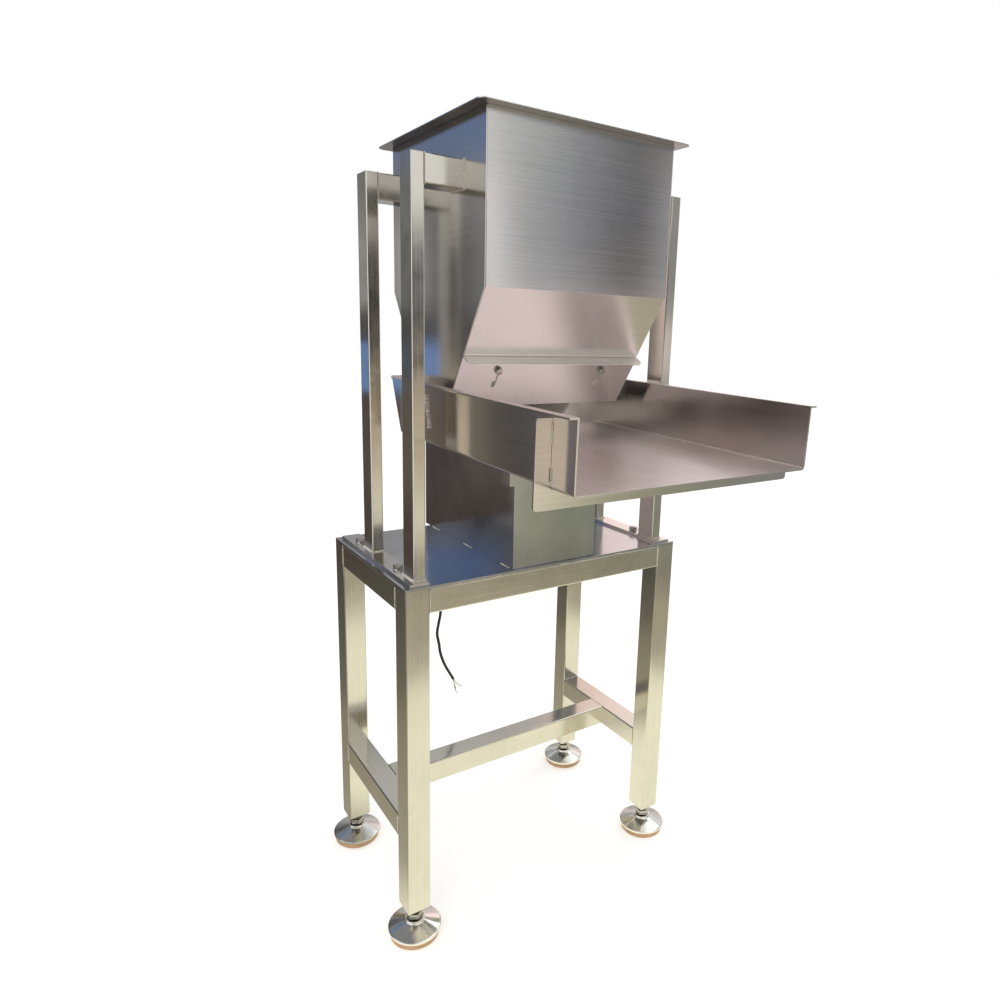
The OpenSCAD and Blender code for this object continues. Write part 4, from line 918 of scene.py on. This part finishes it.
def studio_floor(tone):
    """A floor in pale paint: lifted a little for the camera, and seen in metal as a painted pool of warm light round
    the stand's front, with painted shade that dims it behind."""
    cover = bpy.data.materials.new("painted_studio_floor")
    tree = empty_tree(cover)
    place = node(tree, "ShaderNodeTexCoord").outputs["Object"]
    path = node(tree, "ShaderNodeLightPath").outputs
    grain = node(tree, "ShaderNodeTexNoise", {"Vector": place, "Scale": 30.0, "Detail": 2.0})
    paint = node(tree, "ShaderNodeValToRGB", {"Fac": grain.outputs["Fac"]},
                 stops=[(0.3, tuple(0.97 * c for c in tone)), (0.7, tone)])
    lit = node(tree, "ShaderNodeBsdfDiffuse", {"Color": paint.outputs["Color"]})
    lift = node(tree, "ShaderNodeEmission", {"Color": (1, 1, 1, 1), "Strength": 0.42})
    shown = node(tree, "ShaderNodeAddShader", {0: lit.outputs[0], 1: lift.outputs[0]})
    # For reflections only: a painted pool of warm light, darkened behind the stand as painted shade
    pool = node(tree, "ShaderNodeMapping", {"Vector": place, "Location": POOL_SHIFT, "Scale": POOL_SCALE})
    fall = node(tree, "ShaderNodeTexGradient", {"Vector": pool.outputs[0]}, gradient_type="SPHERICAL")
    warm = node(tree, "ShaderNodeValToRGB", {"Fac": fall.outputs["Fac"]}, stops=POOL)
    behind = node(tree, "ShaderNodeVectorMath", {0: place, 1: (-0.6, 0.8, 0.0)}, operation="DOT_PRODUCT")
    dim = node(tree, "ShaderNodeMapRange", {"Value": behind.outputs["Value"], "From Min": 0.25, "From Max": 1.2,
                                            "To Min": 1.2, "To Max": 0.6})
    mirrored = node(tree, "ShaderNodeEmission", {"Color": warm.outputs["Color"], "Strength": dim.outputs[0]})
    first = node(tree, "ShaderNodeMixShader", {0: path["Is Camera Ray"], 1: lit.outputs[0], 2: shown.outputs[0]})
    second = node(tree, "ShaderNodeMixShader", {0: path["Is Glossy Ray"], 1: first.outputs[0],
                                                2: mirrored.outputs[0]})
    node(tree, "ShaderNodeOutputMaterial", {"Surface": second.outputs[0]})
    shape = bmesh.new()
    bmesh.ops.create_grid(shape, x_segments=1, y_segments=1, size=60)
    meshed("studio_floor", shape, [cover])


def softbox(name, place, aim, power):
    """A soft square lamp that looks at a point."""
    data = bpy.data.lights.new(name, "AREA")
    data.shape, data.size, data.size_y, data.energy = "RECTANGLE", 1.6, 1.6, power
    lamp = bpy.data.objects.new(name, data)
    bpy.context.scene.collection.objects.link(lamp)
    lamp.location = place
    lamp.rotation_mode = "QUATERNION"
    lamp.rotation_quaternion = (Vector(aim) - Vector(place)).to_track_quat("-Z", "Y")


class FEEDER_OT_stage(bpy.types.Operator):
    """Makes the floor, the soft panels, the lamps and the white surround"""

    bl_idname = "feeder.stage"
    bl_label = "Stage"

    def execute(self, context):
        studio = context.scene.feeder_studio
        white_surround(studio.sky)
        studio_floor(tuple(studio.floor))
        soft_panels(studio.ring, studio.ceiling)
        softbox("key_softbox", (-1.9, -1.7, 2.9), (0, 0, 0.8), studio.key)
        softbox("fill_softbox", (2.1, 0.9, 2.6), (0, 0, 0.9), studio.fill)
        context.scene.view_settings.view_transform = "Standard"
        return {"FINISHED"}


class FEEDER_PT_panel(bpy.types.Panel):
    """Lists the feeder's steps and settings"""

    bl_idname = "FEEDER_PT_panel"
    bl_label = "Vibratory feeder"
    bl_space_type = "VIEW_3D"
    bl_region_type = "UI"
    bl_category = "Feeder"

    def draw(self, context):
        for step in STEPS:
            self.layout.operator(step.bl_idname)
        for group in ("feeder_finish", "feeder_cable", "feeder_studio", "feeder_view"):
            box = self.layout.box()
            settings = getattr(context.scene, group)
            for name in type(settings).__annotations__:
                box.prop(settings, name)


STEPS = (FEEDER_OT_camera, FEEDER_OT_cable, FEEDER_OT_stand, FEEDER_OT_hopper, FEEDER_OT_gate, FEEDER_OT_tray,
         FEEDER_OT_drive, FEEDER_OT_fasteners, FEEDER_OT_feet, FEEDER_OT_welds, FEEDER_OT_stage)
GROUPS = {"feeder_view": FeederView, "feeder_finish": FeederFinish, "feeder_cable": FeederCable,
          "feeder_studio": FeederStudio}


def register():
    for name, group in GROUPS.items():
        bpy.utils.register_class(group)
        setattr(bpy.types.Scene, name, PointerProperty(type=group))
    for step in (*STEPS, FEEDER_PT_panel):
        bpy.utils.register_class(step)


def unregister():
    for step in reversed((*STEPS, FEEDER_PT_panel)):
        bpy.utils.unregister_class(step)
    for name, group in GROUPS.items():
        delattr(bpy.types.Scene, name)
        bpy.utils.unregister_class(group)


def main():
    register()
    for step in STEPS:
        getattr(bpy.ops.feeder, step.bl_idname.removeprefix("feeder."))()


if __name__ == "__main__":
    main()
